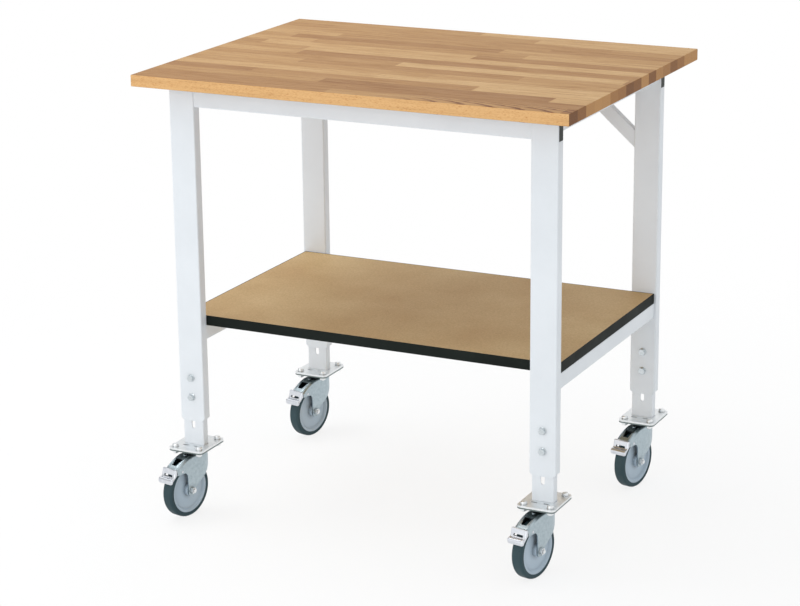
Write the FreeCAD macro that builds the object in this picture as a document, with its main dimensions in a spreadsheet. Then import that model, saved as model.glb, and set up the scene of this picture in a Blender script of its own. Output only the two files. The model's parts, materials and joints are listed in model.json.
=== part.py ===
import FreeCAD, Part
import math
import os
import re
import Sketcher

# Mobile work table: a wooden worktop on a painted tube frame with a lower shelf, telescopic legs
# and four braked swivel casters. Lengths are in millimetres, +Z is up, +Y points to the back,
# and the origin lies on the floor in the middle of the ground that the whole table covers.

Vector = FreeCAD.Vector
doc = FreeCAD.newDocument("mobile_work_table")

# Driving sizes, in millimetres, apart from the angles, which are in degrees
SIZES = {
    # worktop
    "worktop_length": 1000,
    "worktop_depth": 750,
    "worktop_thickness": 25,
    "worktop_height": 1000,
    "worktop_edge_radius": 1.5,
    # how far the worktop stands out over the outer faces of the legs
    "side_overhang": 50,
    "front_overhang": 70,
    # outer legs
    "leg_width": 60,
    "leg_depth": 25,
    "leg_wall": 2,
    "leg_corner_radius": 3,
    "leg_end_height": 214,
    "leg_end_cut_width": 8,
    "leg_end_cut_height": 7,
    # front and rear rails, which run through the leg tops
    "rail_height": 50,
    "rail_wall": 2,
    "rail_corner_radius": 3,
    "rail_fit_clearance": 0.25,
    "plug_face_thickness": 3,
    "plug_core_length": 12,
    "plug_core_clearance": 0.2,
    # side rails under the worktop and under the shelf
    "side_rail_width": 50,
    "side_rail_height": 35,
    "side_rail_wall": 2,
    "side_rail_corner_radius": 3,
    # corner braces behind the worktop
    "brace_reach": 160,
    "brace_drop": 140,
    "brace_width": 30,
    "brace_depth": 18,
    "brace_edge_radius": 2,
    # shelf
    "shelf_top_height": 455,
    "shelf_thickness": 22,
    "shelf_side_inset": 5,
    "shelf_leg_gap": 0.5,
    "shelf_band_thickness": 2,
    # wood screws
    "worktop_screw_spacing": 200,
    "worktop_screw_bite": 18,
    "shelf_screw_inset": 100,
    "shelf_screw_bite": 15,
    "screw_diameter": 6,
    "screw_head_diameter": 12,
    "screw_head_height": 3,
    "screw_hole_clearance": 0.2,
    "screw_tip_length": 5,
    # clamp bolts of the telescopic legs
    "clamp_bolt_diameter": 8,
    "clamp_bolt_height": 56,
    "clamp_bolt_spacing": 45,
    "clamp_hole_clearance": 0.5,
    "clamp_bolt_overhang": 3,
    "thread_clearance": 0.1,
    "hex_across_flats": 13,
    "bolt_head_height": 5.5,
    "bolt_flange_diameter": 17,
    "bolt_flange_thickness": 2,
    "nut_height": 6.5,
    # inner leg tubes
    "foot_tube_width": 50,
    "foot_tube_depth": 20,
    "foot_tube_wall": 2,
    "foot_tube_corner_radius": 2.5,
    "foot_tube_length": 300,
    "foot_slot_height": 37,
    "foot_slot_length": 232,
    "foot_back_opening_width": 30,
    "foot_back_opening_height": 25,
    # foot plates and caster plates share one outline and one hole pattern
    "plate_width": 85,
    "plate_length": 105,
    "plate_corner_radius": 10,
    "plate_hole_spacing_wide": 60,
    "plate_hole_spacing_long": 80,
    "plate_bolt_diameter": 8,
    "plate_hole_clearance": 0.4,
    "plate_bolt_head_diameter": 14,
    "plate_bolt_head_height": 7,
    "plate_bolt_head_radius": 3,
    "plate_bolt_overhang": 2,
    "foot_plate_thickness": 4,
    "foot_slit_length": 14,
    "foot_slit_width": 4,
    "foot_slit_spacing": 28,
    "foot_slit_gap": 10,
    "caster_plate_thickness": 3,
    # caster
    "caster_height": 155,
    "caster_trail": 40,
    "caster_heading": -102,
    "swivel_clearance": 0.35,
    "plate_boss_diameter": 48,
    "plate_boss_height": 2.5,
    "race_diameter": 56,
    "race_height": 4.4,
    "race_edge_radius": 1.5,
    "crown_boss_diameter": 42,
    "crown_boss_height": 3,
    "king_pin_diameter": 14,
    "king_pin_head_diameter": 24,
    "king_pin_head_height": 4,
    # fork, pressed from one sheet
    "fork_sheet": 2.5,
    "fork_wheel_gap": 4,
    "fork_rear_reach": 28,
    "fork_rear_depth": 34,
    "fork_waist_reach": 10,
    "fork_waist_height": 26,
    "fork_waist_radius": 24,
    "fork_arm_front": 9,
    "fork_arm_back": 10,
    "fork_arm_rise": 4,
    "fork_arm_below": 14,
    "fork_arm_radius": 8,
    "fork_arch_height": 46,
    "fork_arch_radius": 11,
    "fork_crown_front": 34,
    "fork_bend_radius": 10,
    "fork_edge_radius": 8,
    "hood_reach": 84,
    "hood_drop": 21.5,
    "hood_window_start": 52,
    "hood_window_length": 24,
    "hood_window_width_back": 20,
    "hood_window_width_front": 11,
    "hood_window_radius": 2,
    "hood_rivet_reach": 39,
    "hood_rivet_diameter": 9,
    "hood_rivet_height": 3,
    # brake pedal
    "pedal_pin_reach": 68,
    "pedal_pin_rise": 5,
    "pedal_pin_diameter": 6,
    "pedal_pin_clearance": 0.3,
    "pedal_width": 40,
    "pedal_sheet": 4.5,
    "pedal_bar_depth": 5.5,
    "pedal_step_depth": 10,
    "pedal_lug_gap": 0.6,
    "pedal_lug_sheet": 2.2,
    "pedal_hood_gap": 1.2,
    "pedal_bar_height": 11,
    "pedal_bar_rise": 3,
    "pedal_fall": 18,
    "pedal_run": 21,
    "pedal_lip_height": 13,
    "pedal_bend_radius": 7,
    "pedal_inner_radius": 4,
    "pedal_corner_radius": 5,
    "pedal_edge_radius": 2.5,
    "pedal_slot_width": 24,
    "pedal_slot_height": 5,
    "pedal_slot_rise": 2,
    # wheel
    "wheel_diameter": 125,
    "tread_width": 26,
    "tread_thickness": 10,
    "tread_shoulder_radius": 6,
    "rim_width": 24,
    "rim_thickness": 5,
    "rim_slope_depth": 4,
    "web_thickness": 15,
    "hub_diameter": 28,
    "hub_end_gap": 0.4,
    "sleeve_diameter": 13,
    "sleeve_clearance": 0.3,
    "axle_diameter": 8,
    "axle_clearance": 0.3,
    # every cut runs this far past the face that it opens
    "cut_overrun": 5,
}

sheet = doc.addObject("Spreadsheet::Sheet", "sizes")
for row, (name, number) in enumerate(SIZES.items(), start=1):
    sheet.set(f"A{row}", name)
    sheet.set(f"B{row}", str(number))
    sheet.setAlias(f"B{row}", name)

probe = doc.addObject("App::FeaturePython", "probe")
probe.addProperty("App::PropertyFloat", "reading")
doc.recompute()

# Places and sizes that follow from the driving ones, as expressions
FRAME_LENGTH = "(worktop_length - 2 * side_overhang)"
FRAME_DEPTH = "(worktop_depth - 2 * front_overhang)"
LEG_X = f"({FRAME_LENGTH} / 2 - leg_width / 2)"
LEG_Y = f"({FRAME_DEPTH} / 2 - leg_depth / 2)"
WORKTOP_UNDERSIDE = "(worktop_height - worktop_thickness)"
LEG_BORE_DEPTH = "(leg_depth - 2 * leg_wall)"
RAIL_DEPTH = f"({LEG_BORE_DEPTH} - 2 * rail_fit_clearance)"
RAIL_MIDDLE = f"({WORKTOP_UNDERSIDE} - rail_height / 2)"
RAIL_UNDERSIDE = f"({WORKTOP_UNDERSIDE} - rail_height)"
SIDE_RAIL_LENGTH = f"({FRAME_DEPTH} - 2 * leg_depth)"
SHELF_UNDERSIDE = "(shelf_top_height - shelf_thickness)"
SHELF_LENGTH = f"({FRAME_LENGTH} - 2 * shelf_side_inset)"
SHELF_DEPTH = f"({SIDE_RAIL_LENGTH} - 2 * shelf_leg_gap)"
SHELF_SCREW_Y = f"({SIDE_RAIL_LENGTH} / 2 - shelf_screw_inset)"
FOOT_TUBE_BASE = "(caster_height + foot_plate_thickness)"
PLATE_UNDERSIDE = "(caster_height - caster_plate_thickness)"
RACE_TOP = f"({PLATE_UNDERSIDE} - plate_boss_height - swivel_clearance)"
RACE_BASE = f"({RACE_TOP} - race_height)"
CROWN_TOP = f"({RACE_BASE} - crown_boss_height)"
AXLE_HEIGHT = "(wheel_diameter / 2)"
HOOD_TOP = f"({CROWN_TOP} - hood_drop)"
ARCH_HEIGHT = f"({AXLE_HEIGHT} + fork_arch_height)"
PEDAL_PIN_Z = f"({ARCH_HEIGHT} + pedal_pin_rise)"
FORK_INNER_WIDTH = "(tread_width + 2 * fork_wheel_gap)"
FORK_WIDTH = f"({FORK_INNER_WIDTH} + 2 * fork_sheet)"
TREAD_INNER = f"({AXLE_HEIGHT} - tread_thickness)"
AXLE_HOLE = "(axle_diameter + 2 * axle_clearance)"
CLAMP_HOLE = "(clamp_bolt_diameter + 2 * clamp_hole_clearance)"

# The front pedals reach further forward than the worktop reaches back, so the table's own middle
# lies this far behind the origin
PEDAL_FRONT = "(hood_reach + pedal_hood_gap + pedal_run)"
PEDAL_REACH = f"({PEDAL_FRONT} * sin(caster_heading) + pedal_width / 2 * cos(caster_heading))"
MIDDLE_Y = f"(({LEG_Y} - {PEDAL_REACH} - worktop_depth / 2) / 2)"

CORNERS = {
    "front_left": (-1, -1),
    "front_right": (1, -1),
    "rear_left": (-1, 1),
    "rear_right": (1, 1),
}
SIDES = {"left": -1, "right": 1}
ENDS = {"front": -1, "rear": 1}
# The turn that brings a piece drawn for the right side to either side
TURN_TO_SIDE = {-1: 180, 1: 0}

nodes = []


def bound(text):
    """Writes an expression's size names as references to the sheet."""
    return re.sub(r"[a-z_]+", lambda word: "sizes." + word[0] if word[0] in SIZES else word[0], str(text))


def value(text):
    """The number that an expression comes to."""
    probe.setExpression("reading", bound(text))
    probe.recompute()
    return probe.reading


def bind(thing, name, text):
    thing.setExpression(name, bound(text))


def new_body(label):
    body = doc.addObject("PartDesign::Body", label)
    body.Label = label
    return body


def place(body, x_text, y_text, z_text):
    """Puts a body at a point measured from the table's own middle."""
    bind(body, "Placement.Base.x", x_text)
    bind(body, "Placement.Base.y", f"{y_text} + {MIDDLE_Y}")
    bind(body, "Placement.Base.z", z_text)


def new_node(label):
    """A body that is drawn where it belongs and is a sub-part itself."""
    body = new_body(label)
    place(body, 0, 0, 0)
    nodes.append(body)
    return body


def new_sketch(body, role, offset=0, shift=0):
    """A sketch on one of the body's own origin planes, moved along the plane's normal and sideways."""
    planes = {feature.Role: feature for feature in body.Origin.OriginFeatures}
    sketch = body.newObject("Sketcher::SketchObject", body.Label + "_sketch")
    sketch.AttachmentSupport = (planes[role], [""])
    sketch.MapMode = "FlatFace"
    bind(sketch, "AttachmentOffset.Base.x", shift)
    bind(sketch, "AttachmentOffset.Base.z", offset)
    return sketch


def fix_point(sketch, geometry, position, x_text, y_text):
    """Binds one point of a sketch to two expressions."""
    for kind, text in (("DistanceX", x_text), ("DistanceY", y_text)):
        rule = Sketcher.Constraint(kind, -1, 1, geometry, position, value(text))
        index = sketch.addConstraint(rule)
        sketch.setExpression(f"Constraints[{index}]", bound(text))


def circle(sketch, x_text, y_text, diameter):
    geometry = sketch.addGeometry(
        Part.Circle(Vector(value(x_text), value(y_text), 0), Vector(0, 0, 1), value(diameter) / 2)
    )
    fix_point(sketch, geometry, 3, x_text, y_text)
    index = sketch.addConstraint(Sketcher.Constraint("Diameter", geometry, value(diameter)))
    sketch.setExpression(f"Constraints[{index}]", bound(diameter))


def outline(sketch, corners):
    """Draws a closed outline. A corner is (x, y), or (x, y, radius) where it is rounded."""
    count = len(corners)
    spots = [Vector(value(corner[0]), value(corner[1]), 0) for corner in corners]
    starts = []
    ends = []
    arcs = {}
    for number, corner in enumerate(corners):
        here = spots[number]
        back = (spots[number - 1] - here).normalize()
        ahead = (spots[(number + 1) % count] - here).normalize()
        if len(corner) == 2:
            ends.append(here)
            starts.append(here)
            continue
        radius = value(corner[2])
        half_turn = back.getAngle(ahead) / 2
        cut_back = radius / math.tan(half_turn)
        centre = here + (back + ahead).normalize() * (radius / math.sin(half_turn))
        first = here + back * cut_back
        last = here + ahead * cut_back
        middle = centre + (here - centre).normalize() * radius
        ends.append(first)
        starts.append(last)
        arcs[number] = Part.Arc(first, middle, last)
    lines = []
    for number in range(count):
        segment = Part.LineSegment(starts[number], ends[(number + 1) % count])
        lines.append(sketch.addGeometry(segment))
    for number, corner in enumerate(corners):
        before = lines[number - 1]
        after = lines[number]
        if number not in arcs:
            sketch.addConstraint(Sketcher.Constraint("Coincident", before, 2, after, 1))
            fix_point(sketch, after, 1, corner[0], corner[1])
            continue
        arc = sketch.addGeometry(arcs[number])
        gap_at_start = sketch.getPoint(arc, 1).distanceToPoint(ends[number])
        gap_at_end = sketch.getPoint(arc, 2).distanceToPoint(ends[number])
        near, far = (1, 2) if gap_at_start < gap_at_end else (2, 1)
        sketch.addConstraint(Sketcher.Constraint("Tangent", before, 2, arc, near))
        sketch.addConstraint(Sketcher.Constraint("Tangent", after, 1, arc, far))
        index = sketch.addConstraint(Sketcher.Constraint("Radius", arc, value(corner[2])))
        sketch.setExpression(f"Constraints[{index}]", bound(corner[2]))
        point = sketch.addGeometry(Part.Point(spots[number]), True)
        sketch.addConstraint(Sketcher.Constraint("PointOnObject", point, 1, before))
        sketch.addConstraint(Sketcher.Constraint("PointOnObject", point, 1, after))
        fix_point(sketch, point, 1, corner[0], corner[1])


def rectangle(sketch, x_text, y_text, width, height, radius=None):
    """A rectangle about a middle point, with rounded corners if a radius is given."""
    rounding = () if radius is None else (radius,)
    outline(
        sketch,
        [
            (f"({x_text}) - {width} / 2", f"({y_text}) - {height} / 2") + rounding,
            (f"({x_text}) + {width} / 2", f"({y_text}) - {height} / 2") + rounding,
            (f"({x_text}) + {width} / 2", f"({y_text}) + {height} / 2") + rounding,
            (f"({x_text}) - {width} / 2", f"({y_text}) + {height} / 2") + rounding,
        ],
    )


def tube_section(sketch, x_text, y_text, width, height, wall, radius):
    """The section of a rectangular tube: an outer and an inner outline."""
    rectangle(sketch, x_text, y_text, width, height, radius)
    inner_width = f"({width} - 2 * {wall})"
    inner_height = f"({height} - 2 * {wall})"
    rectangle(sketch, x_text, y_text, inner_width, inner_height, f"({radius} - {wall} / 2)")


def hexagon(sketch, x_text, y_text, across_flats):
    corner = f"({across_flats} / sqrt(3))"
    outline(
        sketch,
        [
            (f"({x_text}) + {corner} * cos({turn})", f"({y_text}) + {corner} * sin({turn})")
            for turn in range(0, 360, 60)
        ],
    )


def pad(body, sketch, length, symmetric=False, backwards=False):
    feature = body.newObject("PartDesign::Pad", body.Label + "_pad")
    feature.Profile = sketch
    feature.SideType = "Symmetric" if symmetric else "One side"
    feature.Reversed = backwards
    bind(feature, "Length", length)
    doc.recompute()
    return feature


def pocket(body, sketch, length, symmetric=False, backwards=False):
    """Cuts a sketch out of a body, and stops if the cut removes nothing."""
    before = body.Shape.Volume
    feature = body.newObject("PartDesign::Pocket", body.Label + "_pocket")
    feature.Profile = sketch
    feature.SideType = "Symmetric" if symmetric else "One side"
    feature.Reversed = backwards
    bind(feature, "Length", length)
    doc.recompute()
    if not feature.Shape.Volume < before:
        raise ValueError(body.Label + " has a pocket that cuts nothing")
    return feature


def revolve(body, sketch, axis):
    feature = body.newObject("PartDesign::Revolution", body.Label + "_turned")
    feature.Profile = sketch
    feature.ReferenceAxis = (sketch, [axis])
    doc.recompute()
    return feature


def round_edges(body, radius, wanted):
    """Rounds the edges of the body so far for which wanted(edge) is true."""
    base = body.Tip
    names = [f"Edge{number}" for number, edge in enumerate(base.Shape.Edges, start=1) if wanted(edge)]
    feature = body.newObject("PartDesign::Fillet", body.Label + "_rounding")
    feature.Base = (base, names)
    bind(feature, "Radius", radius)
    doc.recompute()
    return feature


def along(edge, axis):
    """True for a straight edge that runs along an axis."""
    if not isinstance(edge.Curve, Part.Line):
        return False
    return abs(abs(edge.Curve.Direction.dot(axis)) - 1) < 1e-6


def copy_of(master, label, x_text, y_text, z_text=0, turn=0):
    """A sub-part that repeats a master body in another place, turned about the upright axis."""
    body = doc.addObject("PartDesign::Body", label)
    body.BaseFeature = master
    body.Label = label
    body.Placement.Rotation = FreeCAD.Rotation(Vector(0, 0, 1), value(turn))
    place(body, x_text, y_text, z_text)
    nodes.append(body)


def group_of(label, pieces):
    """One sub-part of several loose solids. A piece is (master, x, y, z, turn)."""
    solids = []
    for master, x_text, y_text, z_text, turn in pieces:
        solid = master.Shape.copy()
        spot = Vector(value(x_text), value(f"{y_text} + {MIDDLE_Y}"), value(z_text))
        solid.Placement = FreeCAD.Placement(spot, FreeCAD.Rotation(Vector(0, 0, 1), value(turn)))
        solids.append(solid)
    group = doc.addObject("Part::Feature", label)
    group.Label = label
    group.Shape = Part.makeCompound(solids)
    nodes.append(group)


def side_rail_x(side):
    return f"({side} * {LEG_X})"


def worktop_screw_places():
    return [
        (side_rail_x(side), f"{step} * worktop_screw_spacing")
        for side in SIDES.values()
        for step in (-1, 0, 1)
    ]


def shelf_screw_places():
    return [
        (side_rail_x(side), f"{end} * {SHELF_SCREW_Y}")
        for side in SIDES.values()
        for end in ENDS.values()
    ]


SCREW_HOLE = "(screw_diameter + 2 * screw_hole_clearance)"


def pilot_holes(body, base, places, depth):
    """Blind holes for wood screws, drilled from below."""
    sketch = new_sketch(body, "XY_Plane", base)
    for x_text, y_text in places:
        circle(sketch, x_text, y_text, SCREW_HOLE)
    pocket(body, sketch, depth, backwards=True)


def make_worktop():
    body = new_node("worktop")
    sketch = new_sketch(body, "XY_Plane", WORKTOP_UNDERSIDE)
    rectangle(sketch, 0, 0, "worktop_length", "worktop_depth")
    pad(body, sketch, "worktop_thickness")
    round_edges(body, "worktop_edge_radius", lambda edge: True)
    pilot_holes(
        body, WORKTOP_UNDERSIDE, worktop_screw_places(), "(worktop_screw_bite + screw_hole_clearance)"
    )


def make_legs():
    """Outer leg tubes, notched at the top so that a rail can run through, with slanted lower corners."""
    leg = new_body("leg_master")
    section = new_sketch(leg, "XY_Plane", "leg_end_height")
    tube_section(section, 0, 0, "leg_width", "leg_depth", "leg_wall", "leg_corner_radius")
    pad(leg, section, f"({WORKTOP_UNDERSIDE} - leg_end_height)")
    notch = new_sketch(leg, "YZ_Plane")
    notch_height = "(rail_height + rail_fit_clearance + cut_overrun)"
    rectangle(
        notch, 0, f"{WORKTOP_UNDERSIDE} + cut_overrun - {notch_height} / 2", LEG_BORE_DEPTH, notch_height
    )
    pocket(leg, notch, "(leg_width + 2 * cut_overrun)", symmetric=True)
    holes = new_sketch(leg, "XZ_Plane")
    for step in (0, 1):
        circle(holes, 0, f"leg_end_height + clamp_bolt_height + {step} * clamp_bolt_spacing", CLAMP_HOLE)
    pocket(leg, holes, "(leg_depth + 2 * cut_overrun)", symmetric=True)
    slants = new_sketch(leg, "XZ_Plane")
    for side in SIDES.values():
        outline(
            slants,
            [
                (f"{side} * (leg_width / 2 - leg_end_cut_width)", "leg_end_height"),
                (f"{side} * (leg_width / 2 - leg_end_cut_width)", "leg_end_height - cut_overrun"),
                (f"{side} * (leg_width / 2 + cut_overrun)", "leg_end_height - cut_overrun"),
                (f"{side} * (leg_width / 2 + cut_overrun)", "leg_end_height + leg_end_cut_height"),
                (f"{side} * leg_width / 2", "leg_end_height + leg_end_cut_height"),
            ],
        )
    pocket(leg, slants, "(leg_depth + 2 * cut_overrun)", symmetric=True)
    for corner, (side, end) in CORNERS.items():
        copy_of(leg, corner + "_leg", f"{side} * {LEG_X}", f"{end} * {LEG_Y}")


def make_rails():
    """Front and rear rails, and the plugs that close their ends flush with the legs."""
    rail = new_body("rail_master")
    section = new_sketch(rail, "YZ_Plane")
    tube_section(section, 0, RAIL_MIDDLE, RAIL_DEPTH, "rail_height", "rail_wall", "rail_corner_radius")
    pad(rail, section, f"({FRAME_LENGTH} - 2 * plug_face_thickness)", symmetric=True)
    for name, end in ENDS.items():
        copy_of(rail, name + "_rail", 0, f"{end} * {LEG_Y}")
    plug = new_body("plug_master")
    face = new_sketch(plug, "YZ_Plane")
    rectangle(face, 0, RAIL_MIDDLE, RAIL_DEPTH, "rail_height", "rail_corner_radius")
    pad(plug, face, "plug_face_thickness", backwards=True)
    core = new_sketch(plug, "YZ_Plane")
    margin = "2 * (rail_wall + plug_core_clearance)"
    rectangle(core, 0, RAIL_MIDDLE, f"({RAIL_DEPTH} - {margin})", f"(rail_height - {margin})", "rail_wall")
    pad(plug, core, "(plug_face_thickness + plug_core_length)", backwards=True)
    group_of(
        "rail_end_plugs",
        [
            (plug, f"{side} * {FRAME_LENGTH} / 2", f"{end} * {LEG_Y}", 0, TURN_TO_SIDE[side])
            for side in SIDES.values()
            for end in ENDS.values()
        ],
    )


def make_side_rails(kind, top, spacing, steps):
    """A pair of tubes from the front legs to the rear legs, drilled for the screws."""
    rail = new_body(kind + "_master")
    section = new_sketch(rail, "XZ_Plane")
    middle = f"({top} - side_rail_height / 2)"
    tube_section(
        section, 0, middle, "side_rail_width", "side_rail_height", "side_rail_wall", "side_rail_corner_radius"
    )
    pad(rail, section, SIDE_RAIL_LENGTH, symmetric=True)
    holes = new_sketch(rail, "XY_Plane", middle)
    for step in steps:
        circle(holes, 0, f"{step} * {spacing}", SCREW_HOLE)
    pocket(rail, holes, "(side_rail_height + 2 * cut_overrun)", symmetric=True)
    for name, side in SIDES.items():
        copy_of(rail, f"{name}_{kind}", side_rail_x(side), 0)


def make_screws(label, rail_top, bite, places):
    """Wood screws that pass up through the side rails into a board."""
    screw = new_body(label + "_master")
    profile = new_sketch(screw, "XZ_Plane")
    seat = f"({rail_top} - side_rail_height)"
    tip = f"({rail_top} + {bite})"
    outline(
        profile,
        [
            (0, f"{seat} - screw_head_height"),
            ("screw_head_diameter / 2", f"{seat} - screw_head_height", "screw_head_height / 2"),
            ("screw_head_diameter / 2", seat),
            ("screw_diameter / 2", seat),
            ("screw_diameter / 2", f"{tip} - screw_tip_length"),
            (0, tip),
        ],
    )
    revolve(screw, profile, "V_Axis")
    group_of(label, [(screw, x_text, y_text, 0, 0) for x_text, y_text in places])


def make_braces():
    """Slanted struts in the upper rear corners, cut flush to the rail and to the leg."""
    brace = new_body("brace_master")
    profile = new_sketch(brace, "XZ_Plane")
    corner_x = f"({FRAME_LENGTH} / 2 - leg_width)"
    slope_length = "sqrt(brace_reach ^ 2 + brace_drop ^ 2)"
    outline(
        profile,
        [
            (f"{corner_x} - brace_reach", RAIL_UNDERSIDE),
            (corner_x, f"{RAIL_UNDERSIDE} - brace_drop"),
            (corner_x, f"{RAIL_UNDERSIDE} - brace_drop + brace_width * {slope_length} / brace_reach"),
            (f"{corner_x} - brace_reach + brace_width * {slope_length} / brace_drop", RAIL_UNDERSIDE),
        ],
    )
    pad(brace, profile, "brace_depth", symmetric=True)
    slope = Vector(value("brace_reach"), 0, -value("brace_drop")).normalize()
    round_edges(brace, "brace_edge_radius", lambda edge: along(edge, slope))
    for name, side in SIDES.items():
        copy_of(brace, name + "_corner_brace", 0, LEG_Y, 0, TURN_TO_SIDE[side])


def make_shelf():
    """A board with a dark band round its four edges, screwed to the shelf rails."""
    board = new_node("shelf_board")
    board_length = f"({SHELF_LENGTH} - 2 * shelf_band_thickness)"
    board_depth = f"({SHELF_DEPTH} - 2 * shelf_band_thickness)"
    sketch = new_sketch(board, "XY_Plane", SHELF_UNDERSIDE)
    rectangle(sketch, 0, 0, board_length, board_depth)
    pad(board, sketch, "shelf_thickness")
    pilot_holes(board, SHELF_UNDERSIDE, shelf_screw_places(), "(shelf_screw_bite + screw_hole_clearance)")
    band = new_node("shelf_edge_band")
    ring = new_sketch(band, "XY_Plane", SHELF_UNDERSIDE)
    rectangle(ring, 0, 0, SHELF_LENGTH, SHELF_DEPTH, "shelf_band_thickness")
    rectangle(ring, 0, 0, board_length, board_depth)
    pad(band, ring, "shelf_thickness")


def make_clamp_bolts():
    """Flanged hexagon bolts through the front of every leg, with nuts behind it."""
    bolt = new_body("clamp_bolt_master")
    shank_end = "(leg_depth / 2 + nut_height + clamp_bolt_overhang)"
    seat = "(leg_depth / 2)"
    profile = new_sketch(bolt, "XY_Plane")
    outline(
        profile,
        [
            (0, f"-{seat} - bolt_flange_thickness"),
            ("hex_across_flats / 2", f"-{seat} - bolt_flange_thickness"),
            ("bolt_flange_diameter / 2", f"-{seat} - bolt_flange_thickness / 2"),
            ("bolt_flange_diameter / 2", f"-{seat}"),
            ("clamp_bolt_diameter / 2", f"-{seat}"),
            ("clamp_bolt_diameter / 2", shank_end),
            (0, shank_end),
        ],
    )
    revolve(bolt, profile, "V_Axis")
    head = new_sketch(bolt, "XZ_Plane", f"{seat} + bolt_flange_thickness / 2")
    hexagon(head, 0, 0, "hex_across_flats")
    pad(bolt, head, "(bolt_flange_thickness / 2 + bolt_head_height)")
    nut = new_body("clamp_nut_master")
    flats = new_sketch(nut, "XZ_Plane", f"-{seat} - nut_height")
    hexagon(flats, 0, 0, "hex_across_flats")
    circle(flats, 0, 0, "(clamp_bolt_diameter + 2 * thread_clearance)")
    pad(nut, flats, "nut_height")
    places = [
        (
            f"{side} * {LEG_X}",
            f"{end} * {LEG_Y}",
            f"leg_end_height + clamp_bolt_height + {step} * clamp_bolt_spacing",
        )
        for side, end in CORNERS.values()
        for step in (0, 1)
    ]
    group_of("leg_clamp_bolts", [(bolt,) + spot + (0,) for spot in places])
    group_of("leg_clamp_nuts", [(nut,) + spot + (0,) for spot in places])


def plate_outline(sketch):
    """The outline, the four bolt holes and the two slits that both plates share."""
    rectangle(sketch, 0, 0, "plate_width", "plate_length", "plate_corner_radius")
    for x_text, y_text in plate_bolt_places():
        circle(sketch, x_text, y_text, "(plate_bolt_diameter + 2 * plate_hole_clearance)")
    slit_y = "(-foot_tube_depth / 2 - foot_slit_gap - foot_slit_width / 2)"
    for side in SIDES.values():
        rectangle(sketch, f"{side} * foot_slit_spacing / 2", slit_y, "foot_slit_length", "foot_slit_width")


def plate_bolt_places():
    return [
        (f"{side} * plate_hole_spacing_wide / 2", f"{end} * plate_hole_spacing_long / 2")
        for side in SIDES.values()
        for end in ENDS.values()
    ]


def make_foot_tube():
    """The inner leg tube, with a long slot for the clamp bolts and a back that is open behind the slot."""
    tube = new_body("foot_tube_master")
    section = new_sketch(tube, "XY_Plane", FOOT_TUBE_BASE)
    tube_section(
        section, 0, 0, "foot_tube_width", "foot_tube_depth", "foot_tube_wall", "foot_tube_corner_radius"
    )
    pad(tube, section, "foot_tube_length")
    slot = new_sketch(tube, "XZ_Plane")
    low = f"({FOOT_TUBE_BASE} + foot_slot_height + {CLAMP_HOLE} / 2)"
    high = f"({FOOT_TUBE_BASE} + foot_slot_height + foot_slot_length - {CLAMP_HOLE} / 2)"
    rectangle(slot, 0, f"({low} + {high}) / 2", CLAMP_HOLE, f"({high} - {low})")
    pocket(tube, slot, "(foot_tube_depth + 2 * cut_overrun)", symmetric=True)
    for end_height in (low, high):
        slot_end = new_sketch(tube, "XZ_Plane")
        circle(slot_end, 0, end_height, CLAMP_HOLE)
        pocket(tube, slot_end, "(foot_tube_depth + 2 * cut_overrun)", symmetric=True)
    opening = new_sketch(tube, "XZ_Plane")
    opening_base = f"({FOOT_TUBE_BASE} + foot_back_opening_height)"
    rectangle(
        opening, 0, f"({opening_base} + {high}) / 2", "foot_back_opening_width", f"({high} - {opening_base})"
    )
    pocket(tube, opening, "(foot_tube_depth / 2 + cut_overrun)")
    return tube


def make_foot_plate():
    plate = new_body("foot_plate_master")
    sketch = new_sketch(plate, "XY_Plane", "caster_height")
    plate_outline(sketch)
    pad(plate, sketch, "foot_plate_thickness")
    return plate


def make_caster_plate():
    """The caster's fixed plate, with a pressed boss and the riveted pin that the fork turns on."""
    plate = new_body("caster_plate_master")
    sketch = new_sketch(plate, "XY_Plane", PLATE_UNDERSIDE)
    plate_outline(sketch)
    pad(plate, sketch, "caster_plate_thickness")
    profile = new_sketch(plate, "XZ_Plane")
    head_top = f"({CROWN_TOP} - fork_sheet - swivel_clearance)"
    head_base = f"({head_top} - king_pin_head_height)"
    outline(
        profile,
        [
            (0, PLATE_UNDERSIDE),
            ("plate_boss_diameter / 2", PLATE_UNDERSIDE),
            ("plate_boss_diameter / 2", f"{PLATE_UNDERSIDE} - plate_boss_height", "plate_boss_height / 2"),
            ("king_pin_diameter / 2", f"{PLATE_UNDERSIDE} - plate_boss_height"),
            ("king_pin_diameter / 2", head_top),
            ("king_pin_head_diameter / 2", head_top),
            ("king_pin_head_diameter / 2", head_base, "king_pin_head_height / 2"),
            (0, head_base),
        ],
    )
    revolve(plate, profile, "V_Axis")
    return plate


def make_plate_bolt():
    """A domed bolt that holds the two plates together from above."""
    bolt = new_body("plate_bolt_master")
    profile = new_sketch(bolt, "XZ_Plane")
    seat = FOOT_TUBE_BASE
    shank_end = f"({PLATE_UNDERSIDE} - nut_height - plate_bolt_overhang)"
    outline(
        profile,
        [
            (0, shank_end),
            ("plate_bolt_diameter / 2", shank_end),
            ("plate_bolt_diameter / 2", seat),
            ("plate_bolt_head_diameter / 2", seat),
            ("plate_bolt_head_diameter / 2", f"{seat} + plate_bolt_head_height", "plate_bolt_head_radius"),
            (0, f"{seat} + plate_bolt_head_height"),
        ],
    )
    revolve(bolt, profile, "V_Axis")
    return bolt


def make_plate_nut():
    nut = new_body("plate_nut_master")
    flats = new_sketch(nut, "XY_Plane", f"{PLATE_UNDERSIDE} - nut_height")
    hexagon(flats, 0, 0, "hex_across_flats")
    circle(flats, 0, 0, "(plate_bolt_diameter + 2 * thread_clearance)")
    pad(nut, flats, "nut_height")
    return nut


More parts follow.
